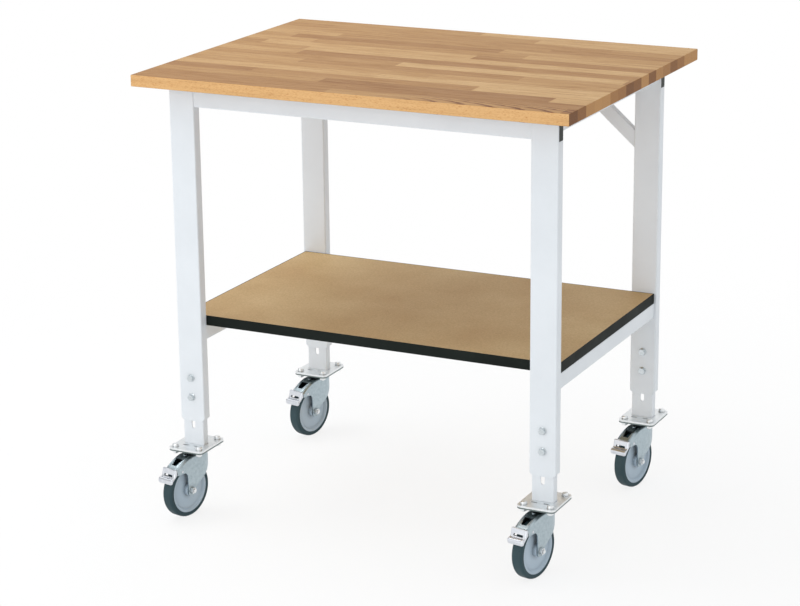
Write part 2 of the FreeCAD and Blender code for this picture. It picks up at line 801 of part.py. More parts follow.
def make_swivel_race():
    """The dished ring of the ball race, which sits on the fork's crown."""
    race = new_body("swivel_race_master")
    profile = new_sketch(race, "XZ_Plane")
    bore = "(king_pin_diameter / 2 + swivel_clearance)"
    outline(
        profile,
        [
            (bore, RACE_BASE),
            ("crown_boss_diameter / 2", RACE_BASE),
            ("race_diameter / 2", f"{RACE_BASE} + race_height / 4", "race_edge_radius"),
            ("race_diameter / 2", RACE_TOP, "race_edge_radius"),
            (bore, RACE_TOP),
        ],
    )
    revolve(race, profile, "V_Axis")
    return race


def make_fork():
    """The fork: a folded sheet with a crown, two arms and a hood over the front of the wheel."""
    fork = new_body("fork_master")
    arm_end = f"({AXLE_HEIGHT} - fork_arm_below)"
    block = new_sketch(fork, "XZ_Plane")
    outline(
        block,
        [
            ("-fork_rear_reach", arm_end),
            ("-fork_rear_reach", CROWN_TOP, "fork_bend_radius"),
            ("fork_crown_front", CROWN_TOP, "fork_bend_radius"),
            ("hood_reach", HOOD_TOP),
            ("hood_reach", arm_end),
        ],
    )
    pad(fork, block, FORK_WIDTH, symmetric=True)
    open_front = value("hood_reach")
    open_base = value(arm_end)

    def on_rim(half_width):
        """Picks the edges of the back, the crown and the hood at one distance from the middle."""

        def wanted(edge):
            middle = edge.valueAt((edge.FirstParameter + edge.LastParameter) / 2)
            on_side = abs(abs(middle.y) - half_width) < 1e-3
            return on_side and middle.z > open_base + 1e-3 and middle.x < open_front - 1e-3

        return wanted

    round_edges(fork, "fork_edge_radius", on_rim(value(f"{FORK_WIDTH} / 2")))
    inside = new_sketch(fork, "XZ_Plane")
    inner_bend = "(fork_bend_radius - fork_sheet)"
    outline(
        inside,
        [
            ("-fork_rear_reach + fork_sheet", f"{arm_end} - cut_overrun"),
            ("-fork_rear_reach + fork_sheet", f"{CROWN_TOP} - fork_sheet", inner_bend),
            ("fork_crown_front", f"{CROWN_TOP} - fork_sheet", inner_bend),
            (
                "hood_reach + cut_overrun",
                f"{HOOD_TOP} - fork_sheet - hood_drop * cut_overrun / (hood_reach - fork_crown_front)",
            ),
            ("hood_reach + cut_overrun", f"{arm_end} - cut_overrun"),
        ],
    )
    pocket(fork, inside, FORK_INNER_WIDTH, symmetric=True)
    round_edges(fork, "(fork_edge_radius - fork_sheet)", on_rim(value(f"{FORK_INNER_WIDTH} / 2")))
    arms = new_sketch(fork, "XZ_Plane")
    outline(
        arms,
        [
            ("-fork_rear_reach - cut_overrun", f"{CROWN_TOP} - fork_rear_depth"),
            ("-fork_rear_reach", f"{CROWN_TOP} - fork_rear_depth"),
            ("-fork_waist_reach", f"{AXLE_HEIGHT} + fork_waist_height", "fork_waist_radius"),
            ("caster_trail - fork_arm_back", f"{AXLE_HEIGHT} + fork_arm_rise", "fork_arm_radius"),
            ("caster_trail - fork_arm_back", arm_end, "fork_arm_radius"),
            ("caster_trail + fork_arm_front", arm_end, "fork_arm_radius"),
            ("caster_trail + fork_arm_front", ARCH_HEIGHT, "fork_arch_radius"),
            ("hood_reach + cut_overrun", ARCH_HEIGHT),
            ("hood_reach + cut_overrun", f"{arm_end} - cut_overrun"),
            ("-fork_rear_reach - cut_overrun", f"{arm_end} - cut_overrun"),
        ],
    )
    pocket(fork, arms, f"({FORK_WIDTH} + 2 * cut_overrun)", symmetric=True)
    crown_boss = new_sketch(fork, "XY_Plane", CROWN_TOP)
    circle(crown_boss, 0, 0, "crown_boss_diameter")
    pad(fork, crown_boss, "crown_boss_height")
    pin_bore = new_sketch(fork, "XY_Plane", RACE_BASE)
    circle(pin_bore, 0, 0, "(king_pin_diameter + 2 * swivel_clearance)")
    pocket(fork, pin_bore, "(crown_boss_height + fork_sheet + cut_overrun)")
    window = new_sketch(fork, "XY_Plane", CROWN_TOP)
    window_end = "hood_window_start + hood_window_length"
    outline(
        window,
        [
            ("hood_window_start", "-hood_window_width_back / 2", "hood_window_radius"),
            (window_end, "-hood_window_width_front / 2", "hood_window_radius"),
            (window_end, "hood_window_width_front / 2", "hood_window_radius"),
            ("hood_window_start", "hood_window_width_back / 2", "hood_window_radius"),
        ],
    )
    pocket(fork, window, "(hood_drop + fork_sheet + cut_overrun)")
    rivet = new_sketch(fork, "XZ_Plane", 0, "hood_rivet_reach")
    hood_slope = "hood_drop / (hood_reach - fork_crown_front)"
    rivet_seat = f"({CROWN_TOP} - fork_sheet - (hood_rivet_reach - fork_crown_front) * {hood_slope})"
    rivet_top = f"({rivet_seat} + fork_sheet + hood_rivet_height)"
    outline(
        rivet,
        [
            (0, rivet_seat),
            ("hood_rivet_diameter / 2", rivet_seat),
            ("hood_rivet_diameter / 2", rivet_top, "hood_rivet_height"),
            (0, rivet_top),
        ],
    )
    revolve(fork, rivet, "V_Axis")
    side_holes = new_sketch(fork, "XZ_Plane")
    circle(side_holes, "caster_trail", AXLE_HEIGHT, AXLE_HOLE)
    circle(side_holes, "pedal_pin_reach", PEDAL_PIN_Z, "(pedal_pin_diameter + 2 * pedal_pin_clearance)")
    pocket(fork, side_holes, f"({FORK_WIDTH} + 2 * cut_overrun)", symmetric=True)
    return fork


def make_pedal():
    """The brake pedal: a cross bar and a bent tread plate on two lugs that reach under the hood."""
    pedal = new_body("pedal_master")
    back = "(hood_reach + pedal_hood_gap)"
    bar_top = f"({HOOD_TOP} + pedal_bar_rise)"
    bar_base = f"({bar_top} - pedal_bar_height)"
    front = PEDAL_FRONT
    lip_top = f"({bar_top} - pedal_fall)"
    lip_base = f"({lip_top} - pedal_lip_height)"
    side_view = new_sketch(pedal, "XZ_Plane")
    outline(
        side_view,
        [
            (back, bar_base),
            (f"{front} - pedal_sheet", f"{lip_top} - pedal_bend_radius", "pedal_inner_radius"),
            (f"{front} - pedal_sheet", lip_base),
            (front, lip_base),
            (front, lip_top, "pedal_bend_radius"),
            (f"{back} + pedal_step_depth", lip_top, "pedal_inner_radius"),
            (f"{back} + pedal_bar_depth", bar_top, "pedal_bar_depth / 3"),
            (back, bar_top, "pedal_bar_depth / 3"),
        ],
    )
    pad(pedal, side_view, "pedal_width", symmetric=True)
    lip_floor = value(lip_base)
    across = Vector(1, 0, 0)
    round_edges(
        pedal,
        "pedal_corner_radius",
        lambda edge: along(edge, across) and abs(edge.BoundBox.ZMax - lip_floor) < 1e-3,
    )
    half_width = value("pedal_width / 2")
    lip_front = value(front)

    def on_lip_edge(edge):
        """The upright edges at the two sides of the lip's front face, from which the rounding runs on."""
        on_side = abs(abs(edge.CenterOfMass.y) - half_width) < 1e-3
        return on_side and edge.BoundBox.XMax > lip_front - 1e-3

    round_edges(pedal, "pedal_edge_radius", on_lip_edge)
    slot = new_sketch(pedal, "YZ_Plane", back)
    rectangle(
        slot,
        0,
        f"{lip_top} + pedal_slot_rise + pedal_slot_height / 2",
        "pedal_slot_width",
        "pedal_slot_height",
        "pedal_slot_height / 3",
    )
    pocket(pedal, slot, "(pedal_run + cut_overrun)", backwards=True)
    lugs = new_sketch(pedal, "XZ_Plane")
    lug_end = "(pedal_pin_reach - pedal_pin_diameter)"
    outline(
        lugs,
        [
            (lug_end, f"{PEDAL_PIN_Z} - pedal_pin_diameter / 2"),
            (f"{back} + pedal_sheet / 2", f"{PEDAL_PIN_Z} - pedal_pin_diameter / 2"),
            (f"{back} + pedal_sheet / 2", PEDAL_PIN_Z),
            (lug_end, PEDAL_PIN_Z),
        ],
    )
    lug_span = f"({FORK_INNER_WIDTH} - 2 * pedal_lug_gap)"
    pad(pedal, lugs, lug_span, symmetric=True)
    pins = new_sketch(pedal, "XZ_Plane")
    circle(pins, "pedal_pin_reach", PEDAL_PIN_Z, "pedal_pin_diameter")
    pad(pedal, pins, FORK_WIDTH, symmetric=True)
    between = new_sketch(pedal, "XZ_Plane")
    outline(
        between,
        [
            (f"{lug_end} - cut_overrun", f"{PEDAL_PIN_Z} - pedal_pin_diameter"),
            (back, f"{PEDAL_PIN_Z} - pedal_pin_diameter"),
            (back, f"{PEDAL_PIN_Z} + pedal_pin_diameter"),
            (f"{lug_end} - cut_overrun", f"{PEDAL_PIN_Z} + pedal_pin_diameter"),
        ],
    )
    pocket(pedal, between, f"({lug_span} - 2 * pedal_lug_sheet)", symmetric=True)
    return pedal


def make_wheel_core():
    """The moulded wheel centre: hub, thin web and rim, turned about the axle."""
    core = new_body("wheel_core_master")
    profile = new_sketch(core, "YZ_Plane")
    bore = "(sleeve_diameter / 2 + sleeve_clearance)"
    hub_end = f"({FORK_INNER_WIDTH} / 2 - hub_end_gap)"
    rim_inner = f"({TREAD_INNER} - rim_thickness)"
    outline(
        profile,
        [
            (f"-{hub_end}", bore),
            (hub_end, bore),
            (hub_end, "hub_diameter / 2", "hub_end_gap"),
            ("web_thickness / 2", "hub_diameter / 2"),
            ("web_thickness / 2", f"{rim_inner} - rim_slope_depth"),
            ("rim_width / 2", rim_inner),
            ("rim_width / 2", TREAD_INNER),
            ("-rim_width / 2", TREAD_INNER),
            ("-rim_width / 2", rim_inner),
            ("-web_thickness / 2", f"{rim_inner} - rim_slope_depth"),
            ("-web_thickness / 2", "hub_diameter / 2"),
            (f"-{hub_end}", "hub_diameter / 2", "hub_end_gap"),
        ],
    )
    revolve(core, profile, "H_Axis")
    return core


def make_wheel_tread():
    tread = new_body("wheel_tread_master")
    profile = new_sketch(tread, "YZ_Plane")
    outline(
        profile,
        [
            ("-tread_width / 2", TREAD_INNER),
            ("tread_width / 2", TREAD_INNER),
            ("tread_width / 2", AXLE_HEIGHT, "tread_shoulder_radius"),
            ("-tread_width / 2", AXLE_HEIGHT, "tread_shoulder_radius"),
        ],
    )
    revolve(tread, profile, "H_Axis")
    return tread


def make_axle_pieces():
    """The axle bolt, the sleeve that keeps the fork's arms apart, and the nut."""
    bolt = new_body("axle_bolt_master")
    seat = f"({FORK_WIDTH} / 2)"
    shank_end = f"({seat} + nut_height + clamp_bolt_overhang)"
    head = new_sketch(bolt, "XZ_Plane", seat)
    hexagon(head, 0, 0, "hex_across_flats")
    pad(bolt, head, "bolt_head_height")
    shank = new_sketch(bolt, "XZ_Plane", seat)
    circle(shank, 0, 0, "axle_diameter")
    pad(bolt, shank, f"({seat} + {shank_end})", backwards=True)
    sleeve = new_body("axle_sleeve_master")
    ring = new_sketch(sleeve, "XZ_Plane")
    circle(ring, 0, 0, "sleeve_diameter")
    circle(ring, 0, 0, AXLE_HOLE)
    pad(sleeve, ring, FORK_INNER_WIDTH, symmetric=True)
    nut = new_body("axle_nut_master")
    flats = new_sketch(nut, "XZ_Plane", f"-{seat} - nut_height")
    hexagon(flats, 0, 0, "hex_across_flats")
    circle(flats, 0, 0, "(axle_diameter + 2 * thread_clearance)")
    pad(nut, flats, "nut_height")
    return [bolt, sleeve, nut]


def make_corners():
    """Inner leg, plates and caster, once at every leg."""
    upright_masters = {
        "foot_tube": make_foot_tube(),
        "foot_plate": make_foot_plate(),
        "caster_plate": make_caster_plate(),
    }
    swivel_masters = {
        "swivel_race": make_swivel_race(),
        "caster_fork": make_fork(),
        "brake_pedal": make_pedal(),
    }
    wheel_masters = {
        "wheel_core": make_wheel_core(),
        "wheel_tread": make_wheel_tread(),
    }
    plate_fasteners = [make_plate_bolt(), make_plate_nut()]
    axle_pieces = make_axle_pieces()
    for corner, (side, end) in CORNERS.items():
        x_text = f"{side} * {LEG_X}"
        y_text = f"{end} * {LEG_Y}"
        wheel_x = f"{x_text} + caster_trail * cos(caster_heading)"
        wheel_y = f"{y_text} + caster_trail * sin(caster_heading)"
        for name, master in upright_masters.items():
            copy_of(master, f"{corner}_{name}", x_text, y_text)
        for name, master in swivel_masters.items():
            copy_of(master, f"{corner}_{name}", x_text, y_text, 0, "caster_heading")
        for name, master in wheel_masters.items():
            copy_of(master, f"{corner}_{name}", wheel_x, wheel_y, AXLE_HEIGHT, "caster_heading")
        group_of(
            corner + "_plate_bolts",
            [
                (piece, f"{x_text} + {hole_x}", f"{y_text} + {hole_y}", 0, 0)
                for hole_x, hole_y in plate_bolt_places()
                for piece in plate_fasteners
            ],
        )
        group_of(
            corner + "_axle",
            [(piece, wheel_x, wheel_y, AXLE_HEIGHT, "caster_heading") for piece in axle_pieces],
        )


def check_and_write():
    """Stops on any object that failed, and writes one file for every sub-part."""
    doc.recompute()
    for thing in doc.Objects:
        if "Invalid" in thing.State or "Error" in thing.State:
            raise ValueError(f"{thing.Label} failed: {thing.State}")
    os.makedirs("parts", exist_ok=True)
    for piece in nodes:
        if piece.Shape.isNull() or not piece.Shape.isValid():
            raise ValueError(piece.Label + " has no valid shape")
        piece.Shape.exportStep(f"parts/{piece.Label}.step")
    print(len(nodes), "sub-parts written")


make_worktop()
make_legs()
make_rails()
make_side_rails("top_rail", WORKTOP_UNDERSIDE, "worktop_screw_spacing", (-1, 0, 1))
make_side_rails("shelf_rail", SHELF_UNDERSIDE, SHELF_SCREW_Y, (-1, 1))
make_braces()
make_shelf()
make_screws("worktop_screws", WORKTOP_UNDERSIDE, "worktop_screw_bite", worktop_screw_places())
make_screws("shelf_screws", SHELF_UNDERSIDE, "shelf_screw_bite", shelf_screw_places())
make_clamp_bolts()
make_corners()
check_and_write()
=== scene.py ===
# %% [markdown]
# # A mobile work table
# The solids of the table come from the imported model, in metres, and stay where they are. This lesson
# gives them their finishes, adds the small details that solids leave out, puts finer forks on the
# casters, and lights the table like a catalogue picture. The first cell loads the model and remembers
# its size.

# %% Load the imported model
import json
import math

import bmesh
import bpy
from mathutils import Matrix, Vector
from mathutils.bvhtree import BVHTree


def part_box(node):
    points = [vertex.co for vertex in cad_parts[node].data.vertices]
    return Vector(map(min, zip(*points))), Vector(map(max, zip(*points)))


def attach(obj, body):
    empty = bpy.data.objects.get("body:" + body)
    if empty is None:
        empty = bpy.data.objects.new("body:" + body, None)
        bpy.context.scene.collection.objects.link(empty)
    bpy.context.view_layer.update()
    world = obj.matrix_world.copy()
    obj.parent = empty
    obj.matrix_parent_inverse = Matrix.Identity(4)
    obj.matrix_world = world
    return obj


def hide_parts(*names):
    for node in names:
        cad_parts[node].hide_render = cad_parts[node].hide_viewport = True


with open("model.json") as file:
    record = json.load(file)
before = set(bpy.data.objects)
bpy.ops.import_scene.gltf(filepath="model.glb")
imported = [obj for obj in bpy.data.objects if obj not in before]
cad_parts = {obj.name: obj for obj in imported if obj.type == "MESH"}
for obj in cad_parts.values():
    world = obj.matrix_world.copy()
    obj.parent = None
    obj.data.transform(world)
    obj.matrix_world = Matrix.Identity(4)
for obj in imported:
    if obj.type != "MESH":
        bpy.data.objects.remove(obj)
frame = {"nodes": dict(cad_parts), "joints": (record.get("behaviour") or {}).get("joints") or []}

MM = 0.001
CORNERS = ("front_left", "front_right", "rear_left", "rear_right")
UP = Vector((0, 0, 1))
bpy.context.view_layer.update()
nodes = frame["nodes"]

# %% [markdown]
# Every finish below is a small tree of shader nodes. A few helpers keep the trees readable: one turns
# a colour as a designer writes it, in hex, into the linear numbers that Blender wants, and one adds a
# node together with its settings and its links. A mix node has many sockets for other kinds of data,
# so the numbers of its colour sockets get names.

# %% Helpers for finishes
WHITE = (1, 1, 1, 1)
BLACK = (0, 0, 0, 1)
# the settings of a mix node that multiplies two colours, and of one that fades between them
TINT = {"data_type": "RGBA", "blend_type": "MULTIPLY"}
FADE = {"data_type": "RGBA", "blend_type": "MIX"}
# the mix node's two colour inputs and its colour output
FIRST = 6
SECOND = 7
MIXED = 2
# most of a noise lies between these two values
NOISE_LOW = 0.3
NOISE_HIGH = 0.7
# how strongly painted shade darkens colours in corners and hollows
RECESS_SHADE_STRENGTH = 0.75


def linear(code):
    """An sRGB hex colour as linear red, green, blue and full alpha."""
    parts = [int(code[place:place + 2], 16) / 255 for place in (1, 3, 5)]
    curve = [part / 12.92 if part <= 0.04045 else ((part + 0.055) / 1.055) ** 2.4 for part in parts]
    return curve + [1.0]


def add(tree, kind, settings=None, inputs=None):
    """Adds a node. Settings are its properties, and inputs are values or sockets to link from."""
    node = tree.nodes.new(kind)
    for name, value in (settings or {}).items():
        if name == "stops":
            elements = node.color_ramp.elements
            while len(elements) < len(value):
                elements.new(0.5)
            for element, (position, code) in zip(elements, value):
                element.position = position
                element.color = linear(code)
        else:
            setattr(node, name, value)
    for name, value in (inputs or {}).items():
        if isinstance(value, bpy.types.NodeSocket):
            tree.links.new(value, node.inputs[name])
        else:
            node.inputs[name].default_value = value
    return node


def per_metre(*lengths):
    """The scales that draw noise of these lengths, in metres, along the three axes."""
    return [1 / length for length in lengths]


def new_finish(name):
    """An empty material with its node tree, its shader and the object's own coordinates."""
    material = bpy.data.materials.new(name)
    material.use_nodes = True
    tree = material.node_tree
    coordinates = add(tree, "ShaderNodeTexCoord")
    return material, tree, tree.nodes["Principled BSDF"], coordinates


def with_painted_recess_shade(tree, tone, reach, strength):
    """A tone with painted shade: an ambient occlusion node darkens it in corners and hollows, where little
    light comes.
    """
    occlusion_shade = add(
        tree, "ShaderNodeAmbientOcclusion", {"samples": 8}, {"Distance": reach, "Color": WHITE}
    )
    return add(
        tree, "ShaderNodeMix", TINT, {"Factor": strength, FIRST: tone, SECOND: occlusion_shade.outputs["Color"]}
    )


def paint(material, *names):
    """Gives one finish to CAD nodes."""
    for name in names:
        mesh = nodes[name].data
        mesh.materials.clear()
        mesh.materials.append(material)
    print(material.name, "on", len(names), "nodes")


print("helpers for finishes are ready")

# %% [markdown]
# The worktop is beech: many staves, each about 44 mm wide, glued side by side along the table and
# planed flat. A brick texture gives the staves. Each row is slid along by its own random amount, so
# the butt joints don't line up, and each stave gets its own tone.

# %% Beech staves
STAVE_COUNT = 17
STAVE_WIDTH = 750 * MM / STAVE_COUNT
STAVE_LENGTH = 520 * MM
MOST_SLIDE = 7 * STAVE_LENGTH
# the glue between two staves is a thin line in one of the darker tones
GLUE_WIDTH = 0.25 * MM
GLUE_TONE = (0.35, 0.35, 0.35, 1)
worktop_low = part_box("worktop")[0]

# beech that is cut into staves, glued and oiled
beech, tree, shader, coordinates = new_finish("oiled_beech_staves")
place = add(tree, "ShaderNodeSeparateXYZ", None, {"Vector": coordinates.outputs["Object"]})
across = add(tree, "ShaderNodeMath", {"operation": "SUBTRACT"}, {0: place.outputs["Y"], 1: worktop_low[1]})
row = add(tree, "ShaderNodeMath", {"operation": "DIVIDE"}, {0: across.outputs[0], 1: STAVE_WIDTH})
row_number = add(tree, "ShaderNodeMath", {"operation": "FLOOR"}, {0: row.outputs[0]})
shuffle = add(tree, "ShaderNodeTexWhiteNoise", {"noise_dimensions": "1D"}, {"W": row_number.outputs[0]})
along = add(
    tree,
    "ShaderNodeMath",
    {"operation": "MULTIPLY_ADD"},
    {0: shuffle.outputs["Value"], 1: MOST_SLIDE, 2: place.outputs["X"]},
)
stave_place = add(
    tree, "ShaderNodeCombineXYZ", None, {"X": along.outputs[0], "Y": across.outputs[0], "Z": 0.0}
)
staves = add(
    tree,
    "ShaderNodeTexBrick",
    {"offset": 0.0, "squash": 1.0},
    {
        "Vector": stave_place.outputs[0],
        "Color1": BLACK,
        "Color2": WHITE,
        "Mortar": GLUE_TONE,
        "Scale": 1.0,
        "Mortar Size": GLUE_WIDTH,
        "Mortar Smooth": 0.3,
        "Bias": 0.0,
        "Brick Width": STAVE_LENGTH,
        "Row Height": STAVE_WIDTH,
    },
)
# heartwood and sapwood tones, from dark to pale
stave_tone = add(
    tree,
    "ShaderNodeValToRGB",
    {"stops": [(0.0, "#A67D4F"), (0.25, "#B38B5A"), (0.5, "#BC9664"), (0.75, "#C8A472"), (1.0, "#D7B787")]},
    {"Fac": staves.outputs["Color"]},
)
print(STAVE_COUNT, "rows of staves,", round(STAVE_WIDTH / MM, 1), "mm wide")

# %% [markdown]
# The grain lies over the staves. Its noise is stretched along the table and starts in another place in
# each stave. Three layers are multiplied onto the stave's tone: soft streaks, the long curved lines
# where the saw went through the growth rings at a flat angle, and short dark flecks.

# %% Grain of the staves
GRAIN_SHIFT = 40.0
STREAK_SIZE = per_metre(120 * MM, 4.5 * MM, 4.5 * MM)
FIGURE_STRETCH = (0.55, 0.16, 0.16)
# the flecks of beech are under a millimetre wide, and drawn about twice as coarse to show
FLECK_SIZE = per_metre(16 * MM, 1.8 * MM, 1.8 * MM)
STREAK_STRENGTH = 0.8
FIGURE_STRENGTH = 0.75
FLECK_STRENGTH = 0.55

start = add(tree, "ShaderNodeMath", {"operation": "MULTIPLY"}, {0: staves.outputs["Color"], 1: GRAIN_SHIFT})
streak_place = add(
    tree, "ShaderNodeMapping", None, {"Vector": coordinates.outputs["Object"], "Scale": STREAK_SIZE}
)
streak_start = add(
    tree, "ShaderNodeVectorMath", {"operation": "ADD"}, {0: streak_place.outputs[0], 1: start.outputs[0]}
)
streaks = add(
    tree,
    "ShaderNodeTexNoise",
    None,
    {"Vector": streak_start.outputs[0], "Scale": 1.0, "Detail": 4.0, "Roughness": 0.62, "Distortion": 0.5},
)
streak_tone = add(
    tree,
    "ShaderNodeValToRGB",
    {"stops": [(0.30, "#C3AC95"), (0.48, "#F0E7DC"), (0.70, "#FFFFFF")]},
    {"Fac": streaks.outputs["Fac"]},
)
figure_place = add(
    tree, "ShaderNodeMapping", None, {"Vector": streak_start.outputs[0], "Scale": FIGURE_STRETCH}
)
figure = add(
    tree,
    "ShaderNodeTexWave",
    {"wave_type": "BANDS", "bands_direction": "Y", "wave_profile": "SAW"},
    {"Vector": figure_place.outputs[0], "Scale": 1.0, "Distortion": 5.0, "Detail": 2.0, "Detail Scale": 0.6},
)
figure_tone = add(
    tree,
    "ShaderNodeValToRGB",
    {"stops": [(0.0, "#FFFFFF"), (0.8, "#F4EADF"), (1.0, "#C9A987")]},
    {"Fac": figure.outputs["Fac"]},
)
fleck_place = add(
    tree, "ShaderNodeMapping", None, {"Vector": coordinates.outputs["Object"], "Scale": FLECK_SIZE}
)
flecks = add(
    tree,
    "ShaderNodeTexNoise",
    None,
    {"Vector": fleck_place.outputs[0], "Scale": 1.0, "Detail": 2.0, "Roughness": 0.5},
)
fleck_tone = add(
    tree,
    "ShaderNodeValToRGB",
    {"stops": [(0.28, "#C8AE96"), (0.40, "#FFFFFF")]},
    {"Fac": flecks.outputs["Fac"]},
)
toned = add(
    tree,
    "ShaderNodeMix",
    TINT,
    {"Factor": STREAK_STRENGTH, FIRST: stave_tone.outputs["Color"], SECOND: streak_tone.outputs["Color"]},
)
figured = add(
    tree,
    "ShaderNodeMix",
    TINT,
    {"Factor": FIGURE_STRENGTH, FIRST: toned.outputs[MIXED], SECOND: figure_tone.outputs["Color"]},
)
flecked = add(
    tree,
    "ShaderNodeMix",
    TINT,
    {"Factor": FLECK_STRENGTH, FIRST: figured.outputs[MIXED], SECOND: fleck_tone.outputs["Color"]},
)
print("streaks, figure and flecks lie over the staves")

# %% [markdown]
# The right end of the front stave is flat sawn, and shows nested arches of dark lines with their tips
# at the front edge. An arch is a parabola: the lines are drawn by how far along the table a point is,
# plus a share of the square of how far it lies behind the front edge. The streaks let them wander.

# %% Arches on the front stave
ARCH_SPACING = 62 * MM
ARCH_SLENDERNESS = 75.0
# the arches fade in between these two places along the table
ARCH_START = 80 * MM
ARCH_FULL = 250 * MM

arch_bend = add(tree, "ShaderNodeMath", {"operation": "POWER"}, {0: across.outputs[0], 1: 2.0})
arch_reach = add(
    tree,
    "ShaderNodeMath",
    {"operation": "MULTIPLY_ADD"},
    {0: arch_bend.outputs[0], 1: ARCH_SLENDERNESS, 2: place.outputs["X"]},
)
arch_wander = add(
    tree,
    "ShaderNodeMath",
    {"operation": "MULTIPLY_ADD"},
    {0: streaks.outputs["Fac"], 1: ARCH_SPACING, 2: arch_reach.outputs[0]},
)
arch_count = add(
    tree, "ShaderNodeMath", {"operation": "DIVIDE"}, {0: arch_wander.outputs[0], 1: ARCH_SPACING}
)
arch_part = add(tree, "ShaderNodeMath", {"operation": "FRACT"}, {0: arch_count.outputs[0]})
arch_tone = add(
    tree,
    "ShaderNodeValToRGB",
    {"stops": [(0.0, "#FFFFFF"), (0.6, "#FBF4EC"), (0.88, "#8E6238"), (1.0, "#C9A983")]},
    {"Fac": arch_part.outputs[0]},
)
in_front = add(tree, "ShaderNodeMath", {"operation": "LESS_THAN"}, {0: row.outputs[0], 1: 1.0})
arch_mask = add(
    tree,
    "ShaderNodeMapRange",
    {"interpolation_type": "SMOOTHSTEP"},
    {
        "Value": place.outputs["X"],
        "From Min": ARCH_START,
        "From Max": ARCH_FULL,
        "To Max": in_front.outputs[0],
    },
)
arched = add(
    tree,
    "ShaderNodeMix",
    TINT,
    {"Factor": arch_mask.outputs[0], FIRST: flecked.outputs[MIXED], SECOND: arch_tone.outputs["Color"]},
)
print("arches", round(ARCH_SPACING / MM), "mm apart on the front stave")

# %% [markdown]
# On the two ends of the worktop the grain is cut across. The wood looks darker there and shows its
# growth rings, about a middle that lies somewhere else for each stave. The long edges show the paler
# side of a stave instead, with fine flecks that lie close together.

# %% End grain and long edges
RING_SPACING = 3 * MM
# at a scale of one, a wave texture has a ring every tau / 20
RING_SCALE = math.tau / 20 / RING_SPACING
RING_DROP = 50 * MM
RING_STRENGTH = 0.7
RAY_SIZE = per_metre(5.5 * MM, 1.1 * MM, 1.1 * MM)
RAY_STRENGTH = 0.75
EDGE_STREAKS = 0.35

end_tone = add(
    tree,
    "ShaderNodeValToRGB",
    {"stops": [(0.0, "#744A22"), (0.5, "#9C6D3C"), (1.0, "#C3955E")]},
    {"Fac": staves.outputs["Color"]},
)
ring_middle = add(
    tree,
    "ShaderNodeCombineXYZ",
    None,
    {"X": 0.0, "Y": staves.outputs["Color"], "Z": RING_DROP - worktop_low[2]},
)
ring_place = add(
    tree,
    "ShaderNodeVectorMath",
    {"operation": "ADD"},
    {0: coordinates.outputs["Object"], 1: ring_middle.outputs[0]},
)
rings = add(
    tree,
    "ShaderNodeTexWave",
    {"wave_type": "RINGS", "rings_direction": "X", "wave_profile": "SAW"},
    {"Vector": ring_place.outputs[0], "Scale": RING_SCALE, "Distortion": 1.5, "Detail": 1.0},
)
ring_tone = add(
    tree,
    "ShaderNodeValToRGB",
    {"stops": [(0.0, "#FFFFFF"), (0.7, "#F3E6D8"), (1.0, "#BF9C7C")]},
    {"Fac": rings.outputs["Fac"]},
)
end_grain = add(
    tree,
    "ShaderNodeMix",
    TINT,
    {"Factor": RING_STRENGTH, FIRST: end_tone.outputs["Color"], SECOND: ring_tone.outputs["Color"]},
)
ray_place = add(
    tree, "ShaderNodeMapping", None, {"Vector": coordinates.outputs["Object"], "Scale": RAY_SIZE}
)
rays = add(
    tree,
    "ShaderNodeTexNoise",
    None,
    {"Vector": ray_place.outputs[0], "Scale": 1.0, "Detail": 2.0, "Roughness": 0.6},
)
ray_tone = add(
    tree,
    "ShaderNodeValToRGB",
    {"stops": [(0.30, "#DDBC92"), (0.48, "#FFFFFF")]},
    {"Fac": rays.outputs["Fac"]},
)
pale_stave = add(
    tree,
    "ShaderNodeMix",
    TINT,
    {"Factor": EDGE_STREAKS, FIRST: linear("#DFB27A"), SECOND: streak_tone.outputs["Color"]},
)
flat_side = add(
    tree,
    "ShaderNodeMix",
    TINT,
    {"Factor": RAY_STRENGTH, FIRST: pale_stave.outputs[MIXED], SECOND: ray_tone.outputs["Color"]},
)
print("growth rings", round(RING_SPACING / MM), "mm apart on the ends")

# %% [markdown]
# The object's own normal tells which way a face looks, and so picks the long edges and the ends. The
# streaks also change the oil's gloss a little, and the flecks are small hollows.

# %% The worktop's whole finish
# a face turns from top to edge while its normal's part along one axis grows between these values
FACING_LOW = 0.6
FACING_HIGH = 0.8

facing = add(tree, "ShaderNodeSeparateXYZ", None, {"Vector": coordinates.outputs["Normal"]})
end_side = add(tree, "ShaderNodeMath", {"operation": "ABSOLUTE"}, {0: facing.outputs["X"]})
end_mask = add(
    tree,
    "ShaderNodeMapRange",
    None,
    {"Value": end_side.outputs[0], "From Min": FACING_LOW, "From Max": FACING_HIGH},
)
long_side = add(tree, "ShaderNodeMath", {"operation": "ABSOLUTE"}, {0: facing.outputs["Y"]})
long_mask = add(
    tree,
    "ShaderNodeMapRange",
    None,
    {"Value": long_side.outputs[0], "From Min": FACING_LOW, "From Max": FACING_HIGH},
)
with_edges = add(
    tree,
    "ShaderNodeMix",
    FADE,
    {"Factor": long_mask.outputs[0], FIRST: arched.outputs[MIXED], SECOND: flat_side.outputs[MIXED]},
)
with_ends = add(
    tree,
    "ShaderNodeMix",
    FADE,
    {"Factor": end_mask.outputs[0], FIRST: with_edges.outputs[MIXED], SECOND: end_grain.outputs[MIXED]},
)
oil_gloss = add(
    tree,
    "ShaderNodeMapRange",
    None,
    {
        "Value": streaks.outputs["Fac"],
        "From Min": NOISE_LOW,
        "From Max": NOISE_HIGH,
        "To Min": 0.62,
        "To Max": 0.5,
    },
)
grain_relief = add(
    tree,
    "ShaderNodeBump",
    None,
    {"Strength": 0.25, "Distance": 0.3 * MM, "Height": flecks.outputs["Fac"]},
)
tree.links.new(with_ends.outputs[MIXED], shader.inputs["Base Color"])
tree.links.new(oil_gloss.outputs[0], shader.inputs["Roughness"])
tree.links.new(grain_relief.outputs["Normal"], shader.inputs["Normal"])
